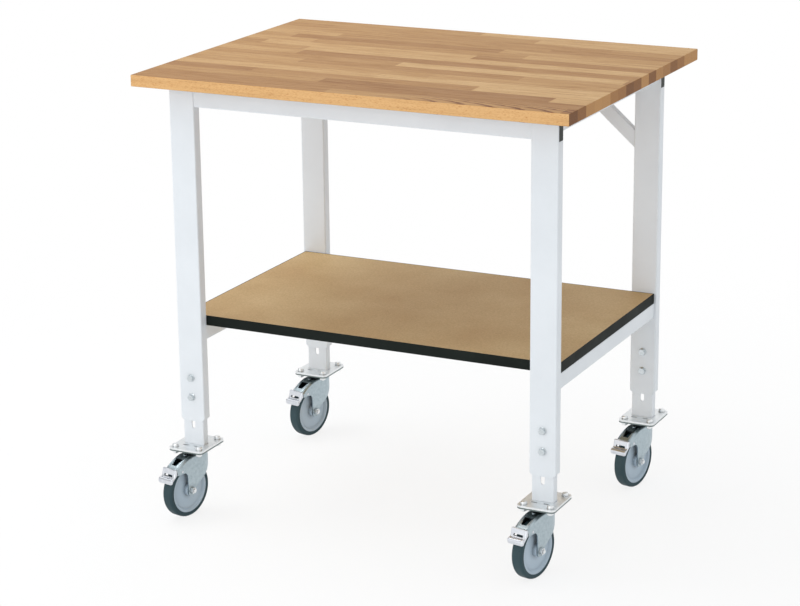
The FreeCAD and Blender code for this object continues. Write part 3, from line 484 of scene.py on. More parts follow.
shader.inputs["IOR"].default_value = 1.48
shader.inputs["Specular IOR Level"].default_value = 0.25
paint(beech, "worktop")

# %% [markdown]
# The shelf is fibre board: wood fibres pressed flat, with no grain. Two noises, one of fibre clumps a
# few millimetres wide and one of broad cloudy patches, give it the look of brown pressed card.

# %% Fibre board shelf
FIBRE_SIZE = 4 * MM
CLOUD_SIZE = 160 * MM

# brown fibre board, pressed smooth on both sides
board, tree, shader, coordinates = new_finish("pressed_fibre_board")
fibre = add(
    tree,
    "ShaderNodeTexNoise",
    None,
    {"Vector": coordinates.outputs["Object"], "Scale": 1 / FIBRE_SIZE, "Detail": 5.0, "Roughness": 0.7},
)
clouds = add(
    tree,
    "ShaderNodeTexNoise",
    None,
    {"Vector": coordinates.outputs["Object"], "Scale": 1 / CLOUD_SIZE, "Detail": 2.0, "Roughness": 0.5},
)
fibre_tone = add(
    tree,
    "ShaderNodeValToRGB",
    {"stops": [(0.25, "#B49666"), (0.5, "#C8AA78"), (0.75, "#D6BB8C")]},
    {"Fac": fibre.outputs["Fac"]},
)
cloud_tone = add(
    tree,
    "ShaderNodeValToRGB",
    {"stops": [(NOISE_LOW, "#EFE6DA"), (NOISE_HIGH, "#FFFFFF")]},
    {"Fac": clouds.outputs["Fac"]},
)
board_tone = add(
    tree,
    "ShaderNodeMix",
    TINT,
    {"Factor": 1.0, FIRST: fibre_tone.outputs["Color"], SECOND: cloud_tone.outputs["Color"]},
)
fibre_relief = add(
    tree, "ShaderNodeBump", None, {"Strength": 0.2, "Distance": 0.2 * MM, "Height": fibre.outputs["Fac"]}
)
tree.links.new(board_tone.outputs[MIXED], shader.inputs["Base Color"])
tree.links.new(fibre_relief.outputs["Normal"], shader.inputs["Normal"])
shader.inputs["Roughness"].default_value = 0.62
paint(board, "shelf_board")

# %% [markdown]
# Powder coat is a plastic paint baked onto steel. It is almost smooth, and close up it has the gentle
# waves of orange peel, one or two millimetres wide, which break up its highlights. The edge band and
# the plugs are black plastic with a fine moulded grain.

# %% Powder coat and black plastics
DRIFT_SIZE = 110 * MM
PLASTIC_GLOSS_CHANGE = 0.05


def moulded(name, deep, pale, grain, relief, roughness, shine=0.5, reach=0.0):
    """A smooth plastic or paint, with painted shade in its corners when a reach is given. Its fine grain, and
    the reach of that painted shade, are in metres.
    """
    material, tree, shader, coordinates = new_finish(name)
    ripple = add(
        tree,
        "ShaderNodeTexNoise",
        None,
        {"Vector": coordinates.outputs["Object"], "Scale": 1 / grain, "Detail": 2.0, "Roughness": 0.5},
    )
    drift = add(
        tree,
        "ShaderNodeTexNoise",
        None,
        {"Vector": coordinates.outputs["Object"], "Scale": 1 / DRIFT_SIZE, "Detail": 3.0, "Roughness": 0.6},
    )
    tone = add(
        tree,
        "ShaderNodeValToRGB",
        {"stops": [(NOISE_LOW, deep), (NOISE_HIGH, pale)]},
        {"Fac": drift.outputs["Fac"]},
    )
    gloss = add(
        tree,
        "ShaderNodeMapRange",
        None,
        {
            "Value": drift.outputs["Fac"],
            "From Min": NOISE_LOW,
            "From Max": NOISE_HIGH,
            "To Min": roughness + PLASTIC_GLOSS_CHANGE,
            "To Max": roughness - PLASTIC_GLOSS_CHANGE,
        },
    )
    bump = add(
        tree, "ShaderNodeBump", None, {"Strength": 0.3, "Distance": relief, "Height": ripple.outputs["Fac"]}
    )
    # painted shade: darker where the occlusion node finds corners within the reach
    colour = with_painted_recess_shade(tree, tone.outputs["Color"], reach, RECESS_SHADE_STRENGTH if reach else 0.0)
    tree.links.new(colour.outputs[MIXED], shader.inputs["Base Color"])
    tree.links.new(gloss.outputs[0], shader.inputs["Roughness"])
    tree.links.new(bump.outputs["Normal"], shader.inputs["Normal"])
    shader.inputs["Specular IOR Level"].default_value = shine
    return material


# the white paint on the welded frame and the feet
powder_coat = moulded("white_powder_coat", "#DCE0E4", "#E1E5E9", 1.6 * MM, 0.05 * MM, 0.38)
# the dull band around the shelf, and the slightly shinier plugs in the rails
edge_plastic = moulded("black_edging_plastic", "#161B18", "#1C221F", 0.9 * MM, 0.06 * MM, 0.55, 0.08)
plug_plastic = moulded("black_moulded_polyethylene", "#222A27", "#2A332F", 0.9 * MM, 0.06 * MM, 0.5, 0.25)
paint(
    powder_coat,
    *[corner + "_leg" for corner in CORNERS],
    *[corner + "_foot_tube" for corner in CORNERS],
    "front_rail",
    "rear_rail",
    "left_top_rail",
    "right_top_rail",
    "left_shelf_rail",
    "right_shelf_rail",
    "left_corner_brace",
    "right_corner_brace",
)
paint(edge_plastic, "shelf_edge_band")
paint(plug_plastic, "rail_end_plugs")

# %% [markdown]
# The casters are pressed from steel sheet and zinc plated. Plating follows the sheet's rolled surface,
# so it has a faint cloudy spangle and brushed streaks, with a blue cast. The pedal is a brighter
# pressing. The wheel's centre is moulded grey polyamide, and the tread is grey rubber.

# %% Caster metals, wheel plastic and tread rubber
SPANGLE_SIZE = 7 * MM
ROLLED_SIZE = per_metre(20 * MM, 1.2 * MM, 1.2 * MM)
ZINC_GLOSS_CHANGE = 0.07


def plated(name, deep, pale, roughness, reach):
    """Zinc-plated steel with a cloudy spangle, small changes in gloss and painted shade in its corners."""
    material, tree, shader, coordinates = new_finish(name)
    spangle = add(
        tree,
        "ShaderNodeTexNoise",
        None,
        {"Vector": coordinates.outputs["Object"], "Scale": 1 / SPANGLE_SIZE, "Detail": 3.0, "Roughness": 0.6},
    )
    rolled = add(
        tree, "ShaderNodeMapping", None, {"Vector": coordinates.outputs["Object"], "Scale": ROLLED_SIZE}
    )
    brushed = add(
        tree,
        "ShaderNodeTexNoise",
        None,
        {"Vector": rolled.outputs[0], "Scale": 1.0, "Detail": 2.0, "Roughness": 0.5},
    )
    tone = add(
        tree,
        "ShaderNodeValToRGB",
        {"stops": [(NOISE_LOW, deep), (NOISE_HIGH, pale)]},
        {"Fac": spangle.outputs["Fac"]},
    )
    gloss = add(
        tree,
        "ShaderNodeMapRange",
        None,
        {
            "Value": brushed.outputs["Fac"],
            "From Min": NOISE_LOW,
            "From Max": NOISE_HIGH,
            "To Min": roughness - ZINC_GLOSS_CHANGE,
            "To Max": roughness + ZINC_GLOSS_CHANGE,
        },
    )
    bump = add(
        tree,
        "ShaderNodeBump",
        None,
        {"Strength": 0.12, "Distance": 0.1 * MM, "Height": brushed.outputs["Fac"]},
    )
    # painted shade in corners and hollows within the reach
    colour = with_painted_recess_shade(tree, tone.outputs["Color"], reach, RECESS_SHADE_STRENGTH)
    tree.links.new(colour.outputs[MIXED], shader.inputs["Base Color"])
    tree.links.new(gloss.outputs[0], shader.inputs["Roughness"])
    tree.links.new(bump.outputs["Normal"], shader.inputs["Normal"])
    shader.inputs["Metallic"].default_value = 1.0
    return material


# the forks, with the blue cast of zinc and painted shade in corners and under the plate
fork_zinc = plated("blue_zinc_plated_steel", "#A3B2B9", "#B7C4CA", 0.34, 16 * MM)
# bolts, nuts and screws of the frame
bolt_zinc = plated("zinc_plated_fasteners", "#C4CCD0", "#D4DADD", 0.28, 3 * MM)
# the foot plates, their bolts and the axles, almost white
bright_zinc = plated("bright_zinc_plated_steel", "#E2E6E8", "#EEF0F1", 0.42, 3 * MM)
# the pedals, worn bright
pedal_zinc = plated("bright_pressed_pedal_steel", "#D0D4DB", "#DEE1E6", 0.34, 6 * MM)
# the caster plates, painted dark for the shaded gap under the foot plates
plate_zinc_painted_shade = plated("zinc_plated_steel_painted_shade", "#677271", "#788382", 0.42, 10 * MM)
# the ring of the ball race is painted dark, for the shade and the dark reflection under the plate
race_steel_painted_shade = plated("ball_race_steel_painted_shade", "#2B3838", "#3A4848", 0.3, 10 * MM)
# the wheels' centres, with painted shade in their recesses, and their treads
wheel_plastic = moulded(
    "grey_moulded_polyamide", "#AEBECB", "#B9C8D4", 1.2 * MM, 0.05 * MM, 0.42, 0.5, 11 * MM
)
tread_rubber = moulded("grey_tread_rubber", "#2C4046", "#344A50", 0.8 * MM, 0.08 * MM, 0.62, 0.3)
for corner in CORNERS:
    paint(fork_zinc, corner + "_caster_fork")
    paint(plate_zinc_painted_shade, corner + "_caster_plate")
    paint(race_steel_painted_shade, corner + "_swivel_race")
    paint(bright_zinc, corner + "_foot_plate", corner + "_plate_bolts", corner + "_axle")
    paint(pedal_zinc, corner + "_brake_pedal")
    paint(wheel_plastic, corner + "_wheel_core")
    paint(tread_rubber, corner + "_wheel_tread")
paint(bolt_zinc, "leg_clamp_bolts", "leg_clamp_nuts", "worktop_screws", "shelf_screws")

# %% [markdown]
# New pieces are made in a bmesh, which is a mesh that can be worked on. Two helpers turn it into an
# object: a piece that stays rides on a body of the model, and a helper object is there for a while,
# because modifiers need an object.

# %% Helpers for new pieces


def new_object(name, work):
    """An object in the scene from a finished bmesh."""
    mesh = bpy.data.meshes.new(name)
    work.to_mesh(mesh)
    work.free()
    thing = bpy.data.objects.new(name, mesh)
    bpy.context.scene.collection.objects.link(thing)
    return thing


def new_piece(name, work, material, body):
    """A finished bmesh as an object that rides on a body."""
    bmesh.ops.recalc_face_normals(work, faces=work.faces)
    piece = new_object(name, work)
    piece.data.materials.append(material)
    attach(piece, body)
    print(name, "with", len(piece.data.polygons), "faces rides on", body)
    return piece


print("helpers for new pieces are ready")

# %% [markdown]
# A bolt that ends past its nut shows its thread. The bolts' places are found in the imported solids: a
# node that holds several bolts and nuts is taken apart, and a long piece is a bolt and a short one its
# nut.

# %% Find the bolt ends
WELD_DISTANCE = 0.01 * MM
SHORTEST_BOLT = 10 * MM


def solid_boxes(*names):
    """The lowest and highest corner of each separate solid in some CAD nodes."""
    boxes = []
    for name in names:
        work = bmesh.new()
        work.from_mesh(nodes[name].data)
        bmesh.ops.remove_doubles(work, verts=work.verts, dist=WELD_DISTANCE)
        waiting = set(work.verts)
        while waiting:
            front = [waiting.pop()]
            reached = list(front)
            while front:
                corner_point = front.pop()
                near = {edge.other_vert(corner_point) for edge in corner_point.link_edges} & waiting
                waiting -= near
                front += near
                reached += near
            spots = [point.co for point in reached]
            low = Vector([min(spot[axis] for spot in spots) for axis in range(3)])
            high = Vector([max(spot[axis] for spot in spots) for axis in range(3)])
            boxes.append((low, high))
        work.free()
    return boxes


def bolt_ends(boxes, axis, side):
    """For each bolt along one axis, the middle of its nut's outer face and of its own end."""
    ends = []
    nuts = [pair for pair in boxes if (pair[1] - pair[0])[axis] < SHORTEST_BOLT]
    bolts = [pair for pair in boxes if (pair[1] - pair[0])[axis] >= SHORTEST_BOLT]
    for low, high in bolts:
        middle = (low + high) / 2
        nut = min(nuts, key=lambda pair: ((pair[0] + pair[1]) / 2 - middle).length)
        start = middle.copy()
        start[axis] = nut[side][axis]
        end = middle.copy()
        end[axis] = (low, high)[side][axis]
        ends.append((start, end))
    return ends


clamp_ends = bolt_ends(solid_boxes("leg_clamp_bolts", "leg_clamp_nuts"), 1, 1)
plate_ends = {corner: bolt_ends(solid_boxes(corner + "_plate_bolts"), 2, 0) for corner in CORNERS}
print(len(clamp_ends), "clamp bolts and", sum(len(ends) for ends in plate_ends.values()), "plate bolts")

# %% [markdown]
# A thread is one small triangle that is turned about the bolt and moved along it at the same time, by
# one pitch for each turn.

# %% Threads on the bolt ends
BOLT_RADIUS = 4 * MM
THREAD_PITCH = 1.25 * MM
THREAD_DEPTH = 0.3 * MM
THREAD_STEPS = 24
# how much of the pitch the ridge covers at its root
ROOT_SHARE = 0.9


def add_thread(work, start, end, radius):
    """A ridge that winds about the line from start to end, closed at both ends."""
    run = end - start
    axis = run.normalized()
    outward = axis.orthogonal().normalized()
    turns = run.length / THREAD_PITCH - 1
    root = start + outward * (radius - THREAD_DEPTH)
    crest = start + outward * radius + axis * THREAD_PITCH / 2
    profile = [work.verts.new(spot) for spot in (root, crest, root + axis * THREAD_PITCH * ROOT_SHARE)]
    edges = [work.edges.new((profile[number - 1], profile[number])) for number in range(3)]
    steps = math.ceil(turns * THREAD_STEPS)
    turned = bmesh.ops.spin(
        work,
        geom=profile + edges,
        cent=start,
        axis=axis,
        dvec=axis * THREAD_PITCH * turns / steps,
        angle=turns * math.tau,
        steps=steps,
    )
    last = [item for item in turned["geom_last"] if isinstance(item, bmesh.types.BMVert)]
    work.faces.new(profile)
    work.faces.new(last)


work = bmesh.new()
for start, end in clamp_ends:
    add_thread(work, start, end, BOLT_RADIUS + THREAD_DEPTH)
new_piece("clamp_bolt_threads", work, bolt_zinc, "frame")
for corner in CORNERS:
    work = bmesh.new()
    for start, end in plate_ends[corner]:
        add_thread(work, start, end, BOLT_RADIUS + THREAD_DEPTH)
    threads = new_piece(corner + "_plate_bolt_threads", work, bright_zinc, corner + "_foot")

# %% [markdown]
# The fork is pressed from one sheet: its back is round, and its hood is arched like a fender. The packed
# solid has a squarer back and a straight hood, so a finer fork takes its place. It is made once, with
# the swivel's axis at the origin and the wheel ahead of it, and the frame's joints tell where the wheel's
# axle and the pedal's pin are. Its lower edge runs down behind the arm, around the axle and up to the
# hood's end.

# %% Lower edge of a fork
FORK_BACK = -28 * MM
HOOD_REACH = 84 * MM
BOSS_HEIGHT = 3 * MM
ARM_ROUND = 13 * MM
ARM_STEPS = 16
# where the arm's round end starts and how far it goes round the axle, in degrees
ARM_ROUND_START = 210
ARM_ROUND_SWEEP = 115
# the lower edge behind and ahead of the round end, in millimetres from the swivel and above the axle
EDGE_BEHIND = ((-28, 45.2), (-22, 40), (-15, 31.5), (-8, 25), (2, 19), (14, 12.5), (22, 7.5), (26.5, 2.5))
EDGE_AHEAD = ((51.2, 30), (52.5, 38), (55.5, 43), (60, 45.5), (66, 46), (84, 46))

places = {joint["name"]: Vector(joint["pos_m"]) for joint in frame["joints"] if "pos_m" in joint}


def heading(corner):
    """A caster's swivel, the way from it to the wheel, and the way to its side."""
    swivel = places[corner + "_caster_swivel"]
    trail = places[corner + "_wheel_spin"] - swivel
    forward = Vector((trail.x, trail.y, 0)).normalized()
    return swivel, forward, Vector((-forward.y, forward.x, 0))


axle_height = places["front_left_wheel_spin"].z
pin_height = places["front_left_brake_pedal"].z
fork_trail = (places["front_left_wheel_spin"] - places["front_left_caster_swivel"]).to_2d().length
crown_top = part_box("front_left_caster_fork")[1][2] - BOSS_HEIGHT
lower_edge = [(reach * MM, axle_height + height * MM) for reach, height in EDGE_BEHIND]
for step in range(ARM_STEPS + 1):
    angle = math.radians(ARM_ROUND_START + ARM_ROUND_SWEEP * step / ARM_STEPS)
    lower_edge.append((fork_trail + ARM_ROUND * math.cos(angle), axle_height + ARM_ROUND * math.sin(angle)))
lower_edge += [(reach * MM, axle_height + height * MM) for reach, height in EDGE_AHEAD]
print("axle", round(fork_trail / MM, 1), "mm ahead of the swivel and", round(axle_height / MM, 1), "mm high")

# %% [markdown]
# Stations are set up from the fork's back to the end of its hood. At each one an upside-down U goes
# across the fork, as wide and as high as the fork is there, and its two legs end at the lower edge. The
# width is that of half an ellipse at the back. Two points on top mark the sides of the hood's window.

# %% Sections across a fork
FORK_HALF_WIDTH = 19.5 * MM
BACK_HALF_WIDTH = 4 * MM
ROUND_START = 20 * MM
BACK_STEPS = 20
BEND_RADIUS = 10 * MM
CROWN_FRONT = 34 * MM
HOOD_DROP = 21.5 * MM
HOOD_BULGE = 4 * MM
HOOD_STEPS = 14
CROWN_EDGE = 5 * MM
HOOD_EDGE = 8 * MM
EDGE_STEPS = 6
# the most of the half width that the edge's bend may take up, and of the flat top the window
MOST_BEND = 0.6
MOST_WINDOW = 0.95
WINDOW_START = 55 * MM
WINDOW_END = 75 * MM
WINDOW_BACK = 10.5 * MM
WINDOW_FRONT = 6.5 * MM
LEAST_STEP = 0.2 * MM


def edge_height(reach):
    """The height of the lower edge at one reach."""
    for (near, low), (far, high) in zip(lower_edge, lower_edge[1:]):
        if reach <= far:
            return low + (high - low) * (reach - near) / (far - near)
    return lower_edge[-1][1]


def share(reach, start, end):
    """How much of the way from start to end is done, from 0 to 1."""
    return min(1.0, max(0.0, (reach - start) / (end - start)))


def hood_height(reach):
    """The height of the crown, which bends at the back, and of the hood, a slope with a parabola on it."""
    inside = max(0.0, BEND_RADIUS - (reach - FORK_BACK))
    bend = math.sqrt(BEND_RADIUS ** 2 - inside ** 2) - BEND_RADIUS
    part = share(reach, CROWN_FRONT, HOOD_REACH)
    return crown_top + bend + HOOD_BULGE * 4 * part * (1 - part) - HOOD_DROP * part


def fork_section(reach):
    """Points across the fork, from one arm's lower edge over the top to the other's."""
    behind = 1 - share(reach, FORK_BACK, ROUND_START)
    half = BACK_HALF_WIDTH + (FORK_HALF_WIDTH - BACK_HALF_WIDTH) * math.sqrt(1 - behind ** 2)
    top = hood_height(reach)
    bend = CROWN_EDGE + (HOOD_EDGE - CROWN_EDGE) * share(reach, ROUND_START, CROWN_FRONT)
    bend = min(bend, MOST_BEND * half)
    gap = WINDOW_BACK + (WINDOW_FRONT - WINDOW_BACK) * share(reach, WINDOW_START, WINDOW_END)
    gap = min(gap, MOST_WINDOW * (half - bend))
    points = [(half, edge_height(reach))]
    for step in range(EDGE_STEPS + 1):
        angle = math.pi / 2 * step / EDGE_STEPS
        points.append((half - bend + bend * math.cos(angle), top - bend + bend * math.sin(angle)))
    points.append((gap, top))
    points += [(-aside, height) for aside, height in reversed(points)]
    return [Vector((reach, aside, height)) for aside, height in points]


quarter_turn = [math.pi / 2 * step / BACK_STEPS for step in range(BACK_STEPS + 1)]
reaches = [FORK_BACK + (ROUND_START - FORK_BACK) * (1 - math.cos(angle)) for angle in quarter_turn]
reaches += [reach for reach, height in lower_edge]
hood_step = (HOOD_REACH - WINDOW_START) / HOOD_STEPS
reaches += [WINDOW_START + hood_step * step for step in range(HOOD_STEPS + 1)]
reaches += [WINDOW_END, CROWN_FRONT]
stations = []
for reach in sorted(reaches):
    if not stations or reach - stations[-1] > LEAST_STEP:
        stations.append(reach)
print(len(stations), "stations along the fork")

# %% [markdown]
# Faces between the stations make the sheet's outside, with the window left out and a narrow face at
# the back. A modifier gives the sheet its thickness, and another cuts the holes for the axle, for the
# pedal's pin and for the swivel's pin.

# %% Sheet of a fork
SHEET = 2.5 * MM
BORE_RADIUS = 7.35 * MM
AXLE_HOLE_RADIUS = 4.2 * MM
PIN_HOLE_RADIUS = 3.3 * MM
PIN_REACH = 68 * MM
ROUND_SEGMENTS = 40
HOLE_LENGTH = 4 * FORK_HALF_WIDTH
BORE_LENGTH = 4 * SHEET


def add_tube(work, centre, axis, radius, length):
    """A closed tube about a centre, for cutting a hole."""
    turn = Vector(axis).to_track_quat("Z", "Y").to_matrix().to_4x4()
    bmesh.ops.create_cone(
        work,
        cap_ends=True,
        segments=ROUND_SEGMENTS,
        radius1=radius,
        radius2=radius,
        depth=length,
        matrix=Matrix.Translation(centre) @ turn,
    )


work = bmesh.new()
rows = [[work.verts.new(spot) for spot in fork_section(reach)] for reach in stations]
window_place = len(rows[0]) // 2 - 1
for number, (near_row, far_row) in enumerate(zip(rows, rows[1:])):
    middle = (stations[number] + stations[number + 1]) / 2
    in_window = WINDOW_START < middle < WINDOW_END
    for point in range(len(near_row) - 1):
        if not (in_window and point == window_place):
            work.faces.new((near_row[point], near_row[point + 1], far_row[point + 1], far_row[point]))
work.faces.new(rows[0])
bmesh.ops.recalc_face_normals(work, faces=work.faces)
sheet = new_object("fork_sheet_helper", work)
cutters = bmesh.new()
add_tube(cutters, (fork_trail, 0, axle_height), (0, 1, 0), AXLE_HOLE_RADIUS, HOLE_LENGTH)
add_tube(cutters, (PIN_REACH, 0, pin_height), (0, 1, 0), PIN_HOLE_RADIUS, HOLE_LENGTH)
add_tube(cutters, (0, 0, crown_top), UP, BORE_RADIUS, BORE_LENGTH)
cutter = new_object("fork_hole_helper", cutters)
thick = sheet.modifiers.new("sheet", "SOLIDIFY")
# the thickness goes inwards, so the outside stays as it is
thick.thickness = SHEET
thick.offset = -1
thick.use_even_offset = True
holes = sheet.modifiers.new("holes", "BOOLEAN")
holes.operation = "DIFFERENCE"
holes.solver = "EXACT"
holes.object = cutter
ready = sheet.evaluated_get(bpy.context.evaluated_depsgraph_get())
fork_mesh = bpy.data.meshes.new_from_object(ready)
for helper in (sheet, cutter):
    bpy.data.objects.remove(helper)
print("fork sheet with", len(fork_mesh.polygons), "faces")

# %% [markdown]
# The boss under the swivel's race is turned from a rectangle about the swivel's axis, and the rivet on
# the hood is a flattened ball that sinks into the sheet by half. A copy of the whole fork is then turned
# the way of each caster and stands for that caster's packed fork.

# %% Forks on their swivels
BOSS_RADIUS = 21 * MM
BOSS_SINK = 0.5 * MM
RIVET_REACH = 39 * MM
RIVET_SHAPE = (4.5 * MM, 4.5 * MM, 3 * MM, 1)
CREASE_ANGLE = math.radians(35)

boss_base = crown_top - BOSS_SINK
boss_top = crown_top + BOSS_HEIGHT
boss_corners = (
    (BORE_RADIUS, 0, boss_base),
    (BOSS_RADIUS, 0, boss_base),
    (BOSS_RADIUS, 0, boss_top),
    (BORE_RADIUS, 0, boss_top),
)
rivet_place = Matrix.Translation((RIVET_REACH, 0, hood_height(RIVET_REACH)))
forks = {}
for corner in CORNERS:
    work = bmesh.new()
    work.from_mesh(fork_mesh)
    profile = [work.verts.new(spot) for spot in boss_corners]
    edges = [work.edges.new((profile[number - 1], profile[number])) for number in range(4)]
    bmesh.ops.spin(
        work,
        geom=profile + edges,
        cent=(0, 0, 0),
        axis=UP,
        angle=math.tau,
        steps=ROUND_SEGMENTS,
        use_merge=True,
    )
    bmesh.ops.create_uvsphere(
        work, u_segments=24, v_segments=12, radius=1, matrix=rivet_place @ Matrix.Diagonal(RIVET_SHAPE)
    )
    swivel, forward, sideways = heading(corner)
    turn = Matrix((forward, sideways, UP)).transposed().to_4x4()
    stand = Matrix.Translation((swivel.x, swivel.y, 0))
    bmesh.ops.transform(work, matrix=stand @ turn, verts=work.verts)
    for face in work.faces:
        face.smooth = True
    fork = new_piece(corner + "_pressed_fork", work, fork_zinc, corner + "_swivel")
    fork.data.set_sharp_from_angle(angle=CREASE_ANGLE)
    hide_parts(corner + "_caster_fork")
    forks[corner] = fork

# %% [markdown]
# The hood of each fork has a raised rim along both sides, where the sheet was pressed. Rays that are
# dropped onto the fork find the height of the hood, at a few stations on the way from the swivel to the
# pedal, and a small ring is extruded from station to station. Half of the ring sinks into the sheet, so
# that a rounded rim is left.

# %% Rims on the hoods
RIM_RADIUS = 1.1 * MM
RIM_SIDE = 13.0 * MM
RIM_START = 40 * MM
RIM_END = 82 * MM
RIM_STATIONS = 8
RIM_SIDES = 10


def add_rim(work, line, sideways):
    """A round rim along a line of points, closed at both ends."""
    slope = (line[-1] - line[0]).normalized()
    turn = Matrix((sideways, slope.cross(sideways), slope)).transposed().to_4x4()
    ring = bmesh.ops.create_circle(
        work,
        cap_ends=True,
        segments=RIM_SIDES,
        radius=RIM_RADIUS,
        matrix=Matrix.Translation(line[0]) @ turn,
    )
    edges = list({edge for point in ring["verts"] for edge in point.link_edges})
    for before, after in zip(line, line[1:]):
        grown = bmesh.ops.extrude_edge_only(work, edges=edges)["geom"]
        moved = [item for item in grown if isinstance(item, bmesh.types.BMVert)]
        bmesh.ops.translate(work, verts=moved, vec=after - before)
        grown_edges = [item for item in grown if isinstance(item, bmesh.types.BMEdge)]
        edges = [edge for edge in grown_edges if set(edge.verts) <= set(moved)]
    bmesh.ops.contextual_create(work, geom=edges)


for corner in CORNERS:
    swivel, forward, sideways = heading(corner)
    mesh = forks[corner].data
    spots = [point.co for point in mesh.vertices]
    surface = BVHTree.FromPolygons(spots, [face.vertices for face in mesh.polygons])
    work = bmesh.new()
    for side in (-1, 1):
        line = []
        for station in range(RIM_STATIONS + 1):
            reach = RIM_START + (RIM_END - RIM_START) * station / RIM_STATIONS
            above = swivel + forward * reach + sideways * side * RIM_SIDE
            line.append(surface.ray_cast(above, -UP)[0])
        add_rim(work, line, sideways)
    new_piece(corner + "_hood_rims", work, fork_zinc, corner + "_swivel")

# %% [markdown]
# The picture was taken on a seamless white background. The floor is a big pale sheet that takes the
# soft shadow under the table. To the camera and in reflections it is a thin veil in front of the white
# world, and thinner still away from the table, so that no horizon shows. Through the veil a foot can
# be seen that is let down below the floor's level, when a leg is drawn out.

# %% Floor
FLOOR_SIZE = 40.0
# how clear the veil is near the table and away from it, and where that changes, in metres
VEIL_NEAR = 0.82
VEIL_FAR = 1.0
SHADOW_END = 0.5
CLEAR_START = 2.2


def looked_at(tree):
    """The light path, and a node that is 1 for rays of the camera, of reflections and through glass."""
    ray = add(tree, "ShaderNodeLightPath")
    direct = add(
        tree,
        "ShaderNodeMath",
        {"operation": "MAXIMUM"},
        {0: ray.outputs["Is Camera Ray"], 1: ray.outputs["Is Glossy Ray"]},
    )
    seen = add(
        tree,
        "ShaderNodeMath",
        {"operation": "MAXIMUM"},
        {0: direct.outputs[0], 1: ray.outputs["Is Transmission Ray"]},
    )
    return ray, seen


work = bmesh.new()
bmesh.ops.create_grid(work, x_segments=1, y_segments=1, size=FLOOR_SIZE)
floor = new_object("studio_floor", work)
# pale matte paper that is mostly clear to the camera
floor_finish = bpy.data.materials.new("pale_studio_floor")
floor_finish.use_nodes = True
tree = floor_finish.node_tree
tree.nodes.remove(tree.nodes["Principled BSDF"])
ray, seen = looked_at(tree)
spot = add(tree, "ShaderNodeTexCoord")
distance = add(tree, "ShaderNodeVectorMath", {"operation": "LENGTH"}, {0: spot.outputs["Object"]})
veil = add(
    tree,
    "ShaderNodeMapRange",
    {"interpolation_type": "SMOOTHSTEP"},
    {
        "Value": distance.outputs["Value"],
        "From Min": SHADOW_END,
        "From Max": CLEAR_START,
        "To Min": VEIL_NEAR,
        "To Max": VEIL_FAR,
    },
)
clearness = add(tree, "ShaderNodeMath", {"operation": "MULTIPLY"}, {0: seen.outputs[0], 1: veil.outputs[0]})
matte = add(tree, "ShaderNodeBsdfDiffuse", None, {"Color": linear("#F4F4F4")})
clear = add(tree, "ShaderNodeBsdfTransparent", None, {"Color": WHITE})
mixed = add(
    tree, "ShaderNodeMixShader", None, {0: clearness.outputs[0], 1: matte.outputs[0], 2: clear.outputs[0]}
)
tree.links.new(mixed.outputs[0], tree.nodes["Material Output"].inputs["Surface"])
floor.data.materials.append(floor_finish)
print("pale floor,", 2 * FLOOR_SIZE, "m wide")

# %% [markdown]
# The world is white all around. It is a little weaker and bluer as a light than it looks. Up on the
# left it has a dark patch that only reflections see, like the black card of a studio: it gives bare
# metal the dark tones without which it looks like paint.

# %% World
CARD_DIRECTION = Vector((-0.83, 0.2, 0.52))
# the card's soft edge, as the cosine of the angle to its middle, and how much light it takes away
CARD_EDGE = 0.74
CARD_CORE = 0.92
CARD_DARKNESS = 0.85
LIGHT_STRENGTH = 0.87
SEEN_STRENGTH = 1.0

world = bpy.data.worlds.new("white_studio")
world.use_nodes = True
bpy.context.scene.world = world
tree = world.node_tree
ray, seen = looked_at(tree)
strength = add(
    tree,
    "ShaderNodeMapRange",
    None,
    {"Value": seen.outputs[0], "To Min": LIGHT_STRENGTH, "To Max": SEEN_STRENGTH},
)
way = add(tree, "ShaderNodeTexCoord")
nearness = add(
    tree,
    "ShaderNodeVectorMath",
    {"operation": "DOT_PRODUCT"},
    {0: way.outputs["Generated"], 1: CARD_DIRECTION},
)
card = add(
    tree,
    "ShaderNodeMapRange",
    {"interpolation_type": "SMOOTHSTEP"},
    {
        "Value": nearness.outputs["Value"],
        "From Min": CARD_EDGE,
        "From Max": CARD_CORE,
        "To Max": CARD_DARKNESS,
    },
)
reflected = add(
    tree, "ShaderNodeMath", {"operation": "MULTIPLY"}, {0: card.outputs[0], 1: ray.outputs["Is Glossy Ray"]}
)
light_left = add(tree, "ShaderNodeMath", {"operation": "SUBTRACT"}, {0: 1.0, 1: reflected.outputs[0]})
carded = add(
    tree, "ShaderNodeMath", {"operation": "MULTIPLY"}, {0: strength.outputs[0], 1: light_left.outputs[0]}
)
daylight = add(
    tree,
    "ShaderNodeMix",
    FADE,
    {"Factor": seen.outputs[0], FIRST: linear("#FAFDFF"), SECOND: linear("#FFFFFF")},
)
tree.links.new(carded.outputs[0], tree.nodes["Background"].inputs["Strength"])
tree.links.new(daylight.outputs[MIXED], tree.nodes["Background"].inputs["Color"])
print("white world with a dark card towards", list(CARD_DIRECTION))

# %% [markdown]
# Two big soft lamps are enough. The key stands low in front, a little to the left, because the front
# faces are the palest in the picture and the right-hand faces are greyer. The other hangs above the
# left end, where the worktop is palest. The white world fills the rest.

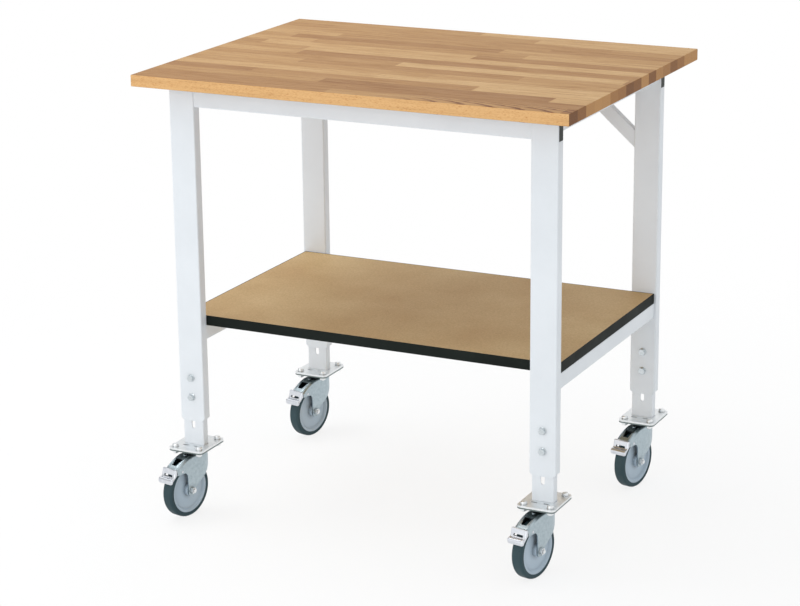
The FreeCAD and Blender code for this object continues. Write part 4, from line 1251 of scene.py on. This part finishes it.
# %% Lamps


def lamp(name, spot, aim, size, power):
    """A square area lamp at a spot, turned to an aim."""
    data = bpy.data.lights.new(name, "AREA")
    data.shape = "SQUARE"
    data.size = size
    data.energy = power
    holder = bpy.data.objects.new(name, data)
    holder.location = spot
    holder.rotation_euler = (Vector(aim) - Vector(spot)).to_track_quat("-Z", "Y").to_euler()
    bpy.context.scene.collection.objects.link(holder)
    print(name, power, "W")


lamp("key_softbox", spot=(-1.0, -4.8, 1.5), aim=(0, 0, 0.55), size=2.4, power=46)
lamp("top_softbox", spot=(-1.7, -0.2, 3.2), aim=(-0.5, 0, 0.9), size=1.6, power=34)

# %% [markdown]
# The camera stands where the photograph was taken from. Its place and its turns were worked out from
# the corners of the worktop, the legs and the shelf, for a picture 800 pixels wide.

# %% Camera
CAMERA_PLACE = (2.20066, -4.55921, 1.97053)
CAMERA_YAW = math.radians(26.2571)
CAMERA_PITCH = math.radians(16.6225)
CAMERA_ROLL = math.radians(-0.6073)
SENSOR_WIDTH = 36
FOCAL_LENGTH = 107.04

level = Vector((math.cos(CAMERA_YAW), math.sin(CAMERA_YAW), 0))
straight = Vector((-math.sin(CAMERA_YAW), math.cos(CAMERA_YAW), 0))
ahead = straight * math.cos(CAMERA_PITCH) - UP * math.sin(CAMERA_PITCH)
upright = level.cross(ahead)
camera_right = level * math.cos(CAMERA_ROLL) + upright * math.sin(CAMERA_ROLL)
camera_up = upright * math.cos(CAMERA_ROLL) - level * math.sin(CAMERA_ROLL)
camera_data = bpy.data.cameras.new("studio_camera")
camera_data.sensor_width = SENSOR_WIDTH
camera_data.lens = FOCAL_LENGTH
camera = bpy.data.objects.new("studio_camera", camera_data)
turn = Matrix((camera_right, camera_up, -ahead)).transposed().to_4x4()
camera.matrix_world = Matrix.Translation(CAMERA_PLACE) @ turn
bpy.context.scene.collection.objects.link(camera)
bpy.context.scene.camera = camera
bpy.context.scene.view_settings.view_transform = "Standard"
print("camera at", [round(c, 3) for c in camera.location])
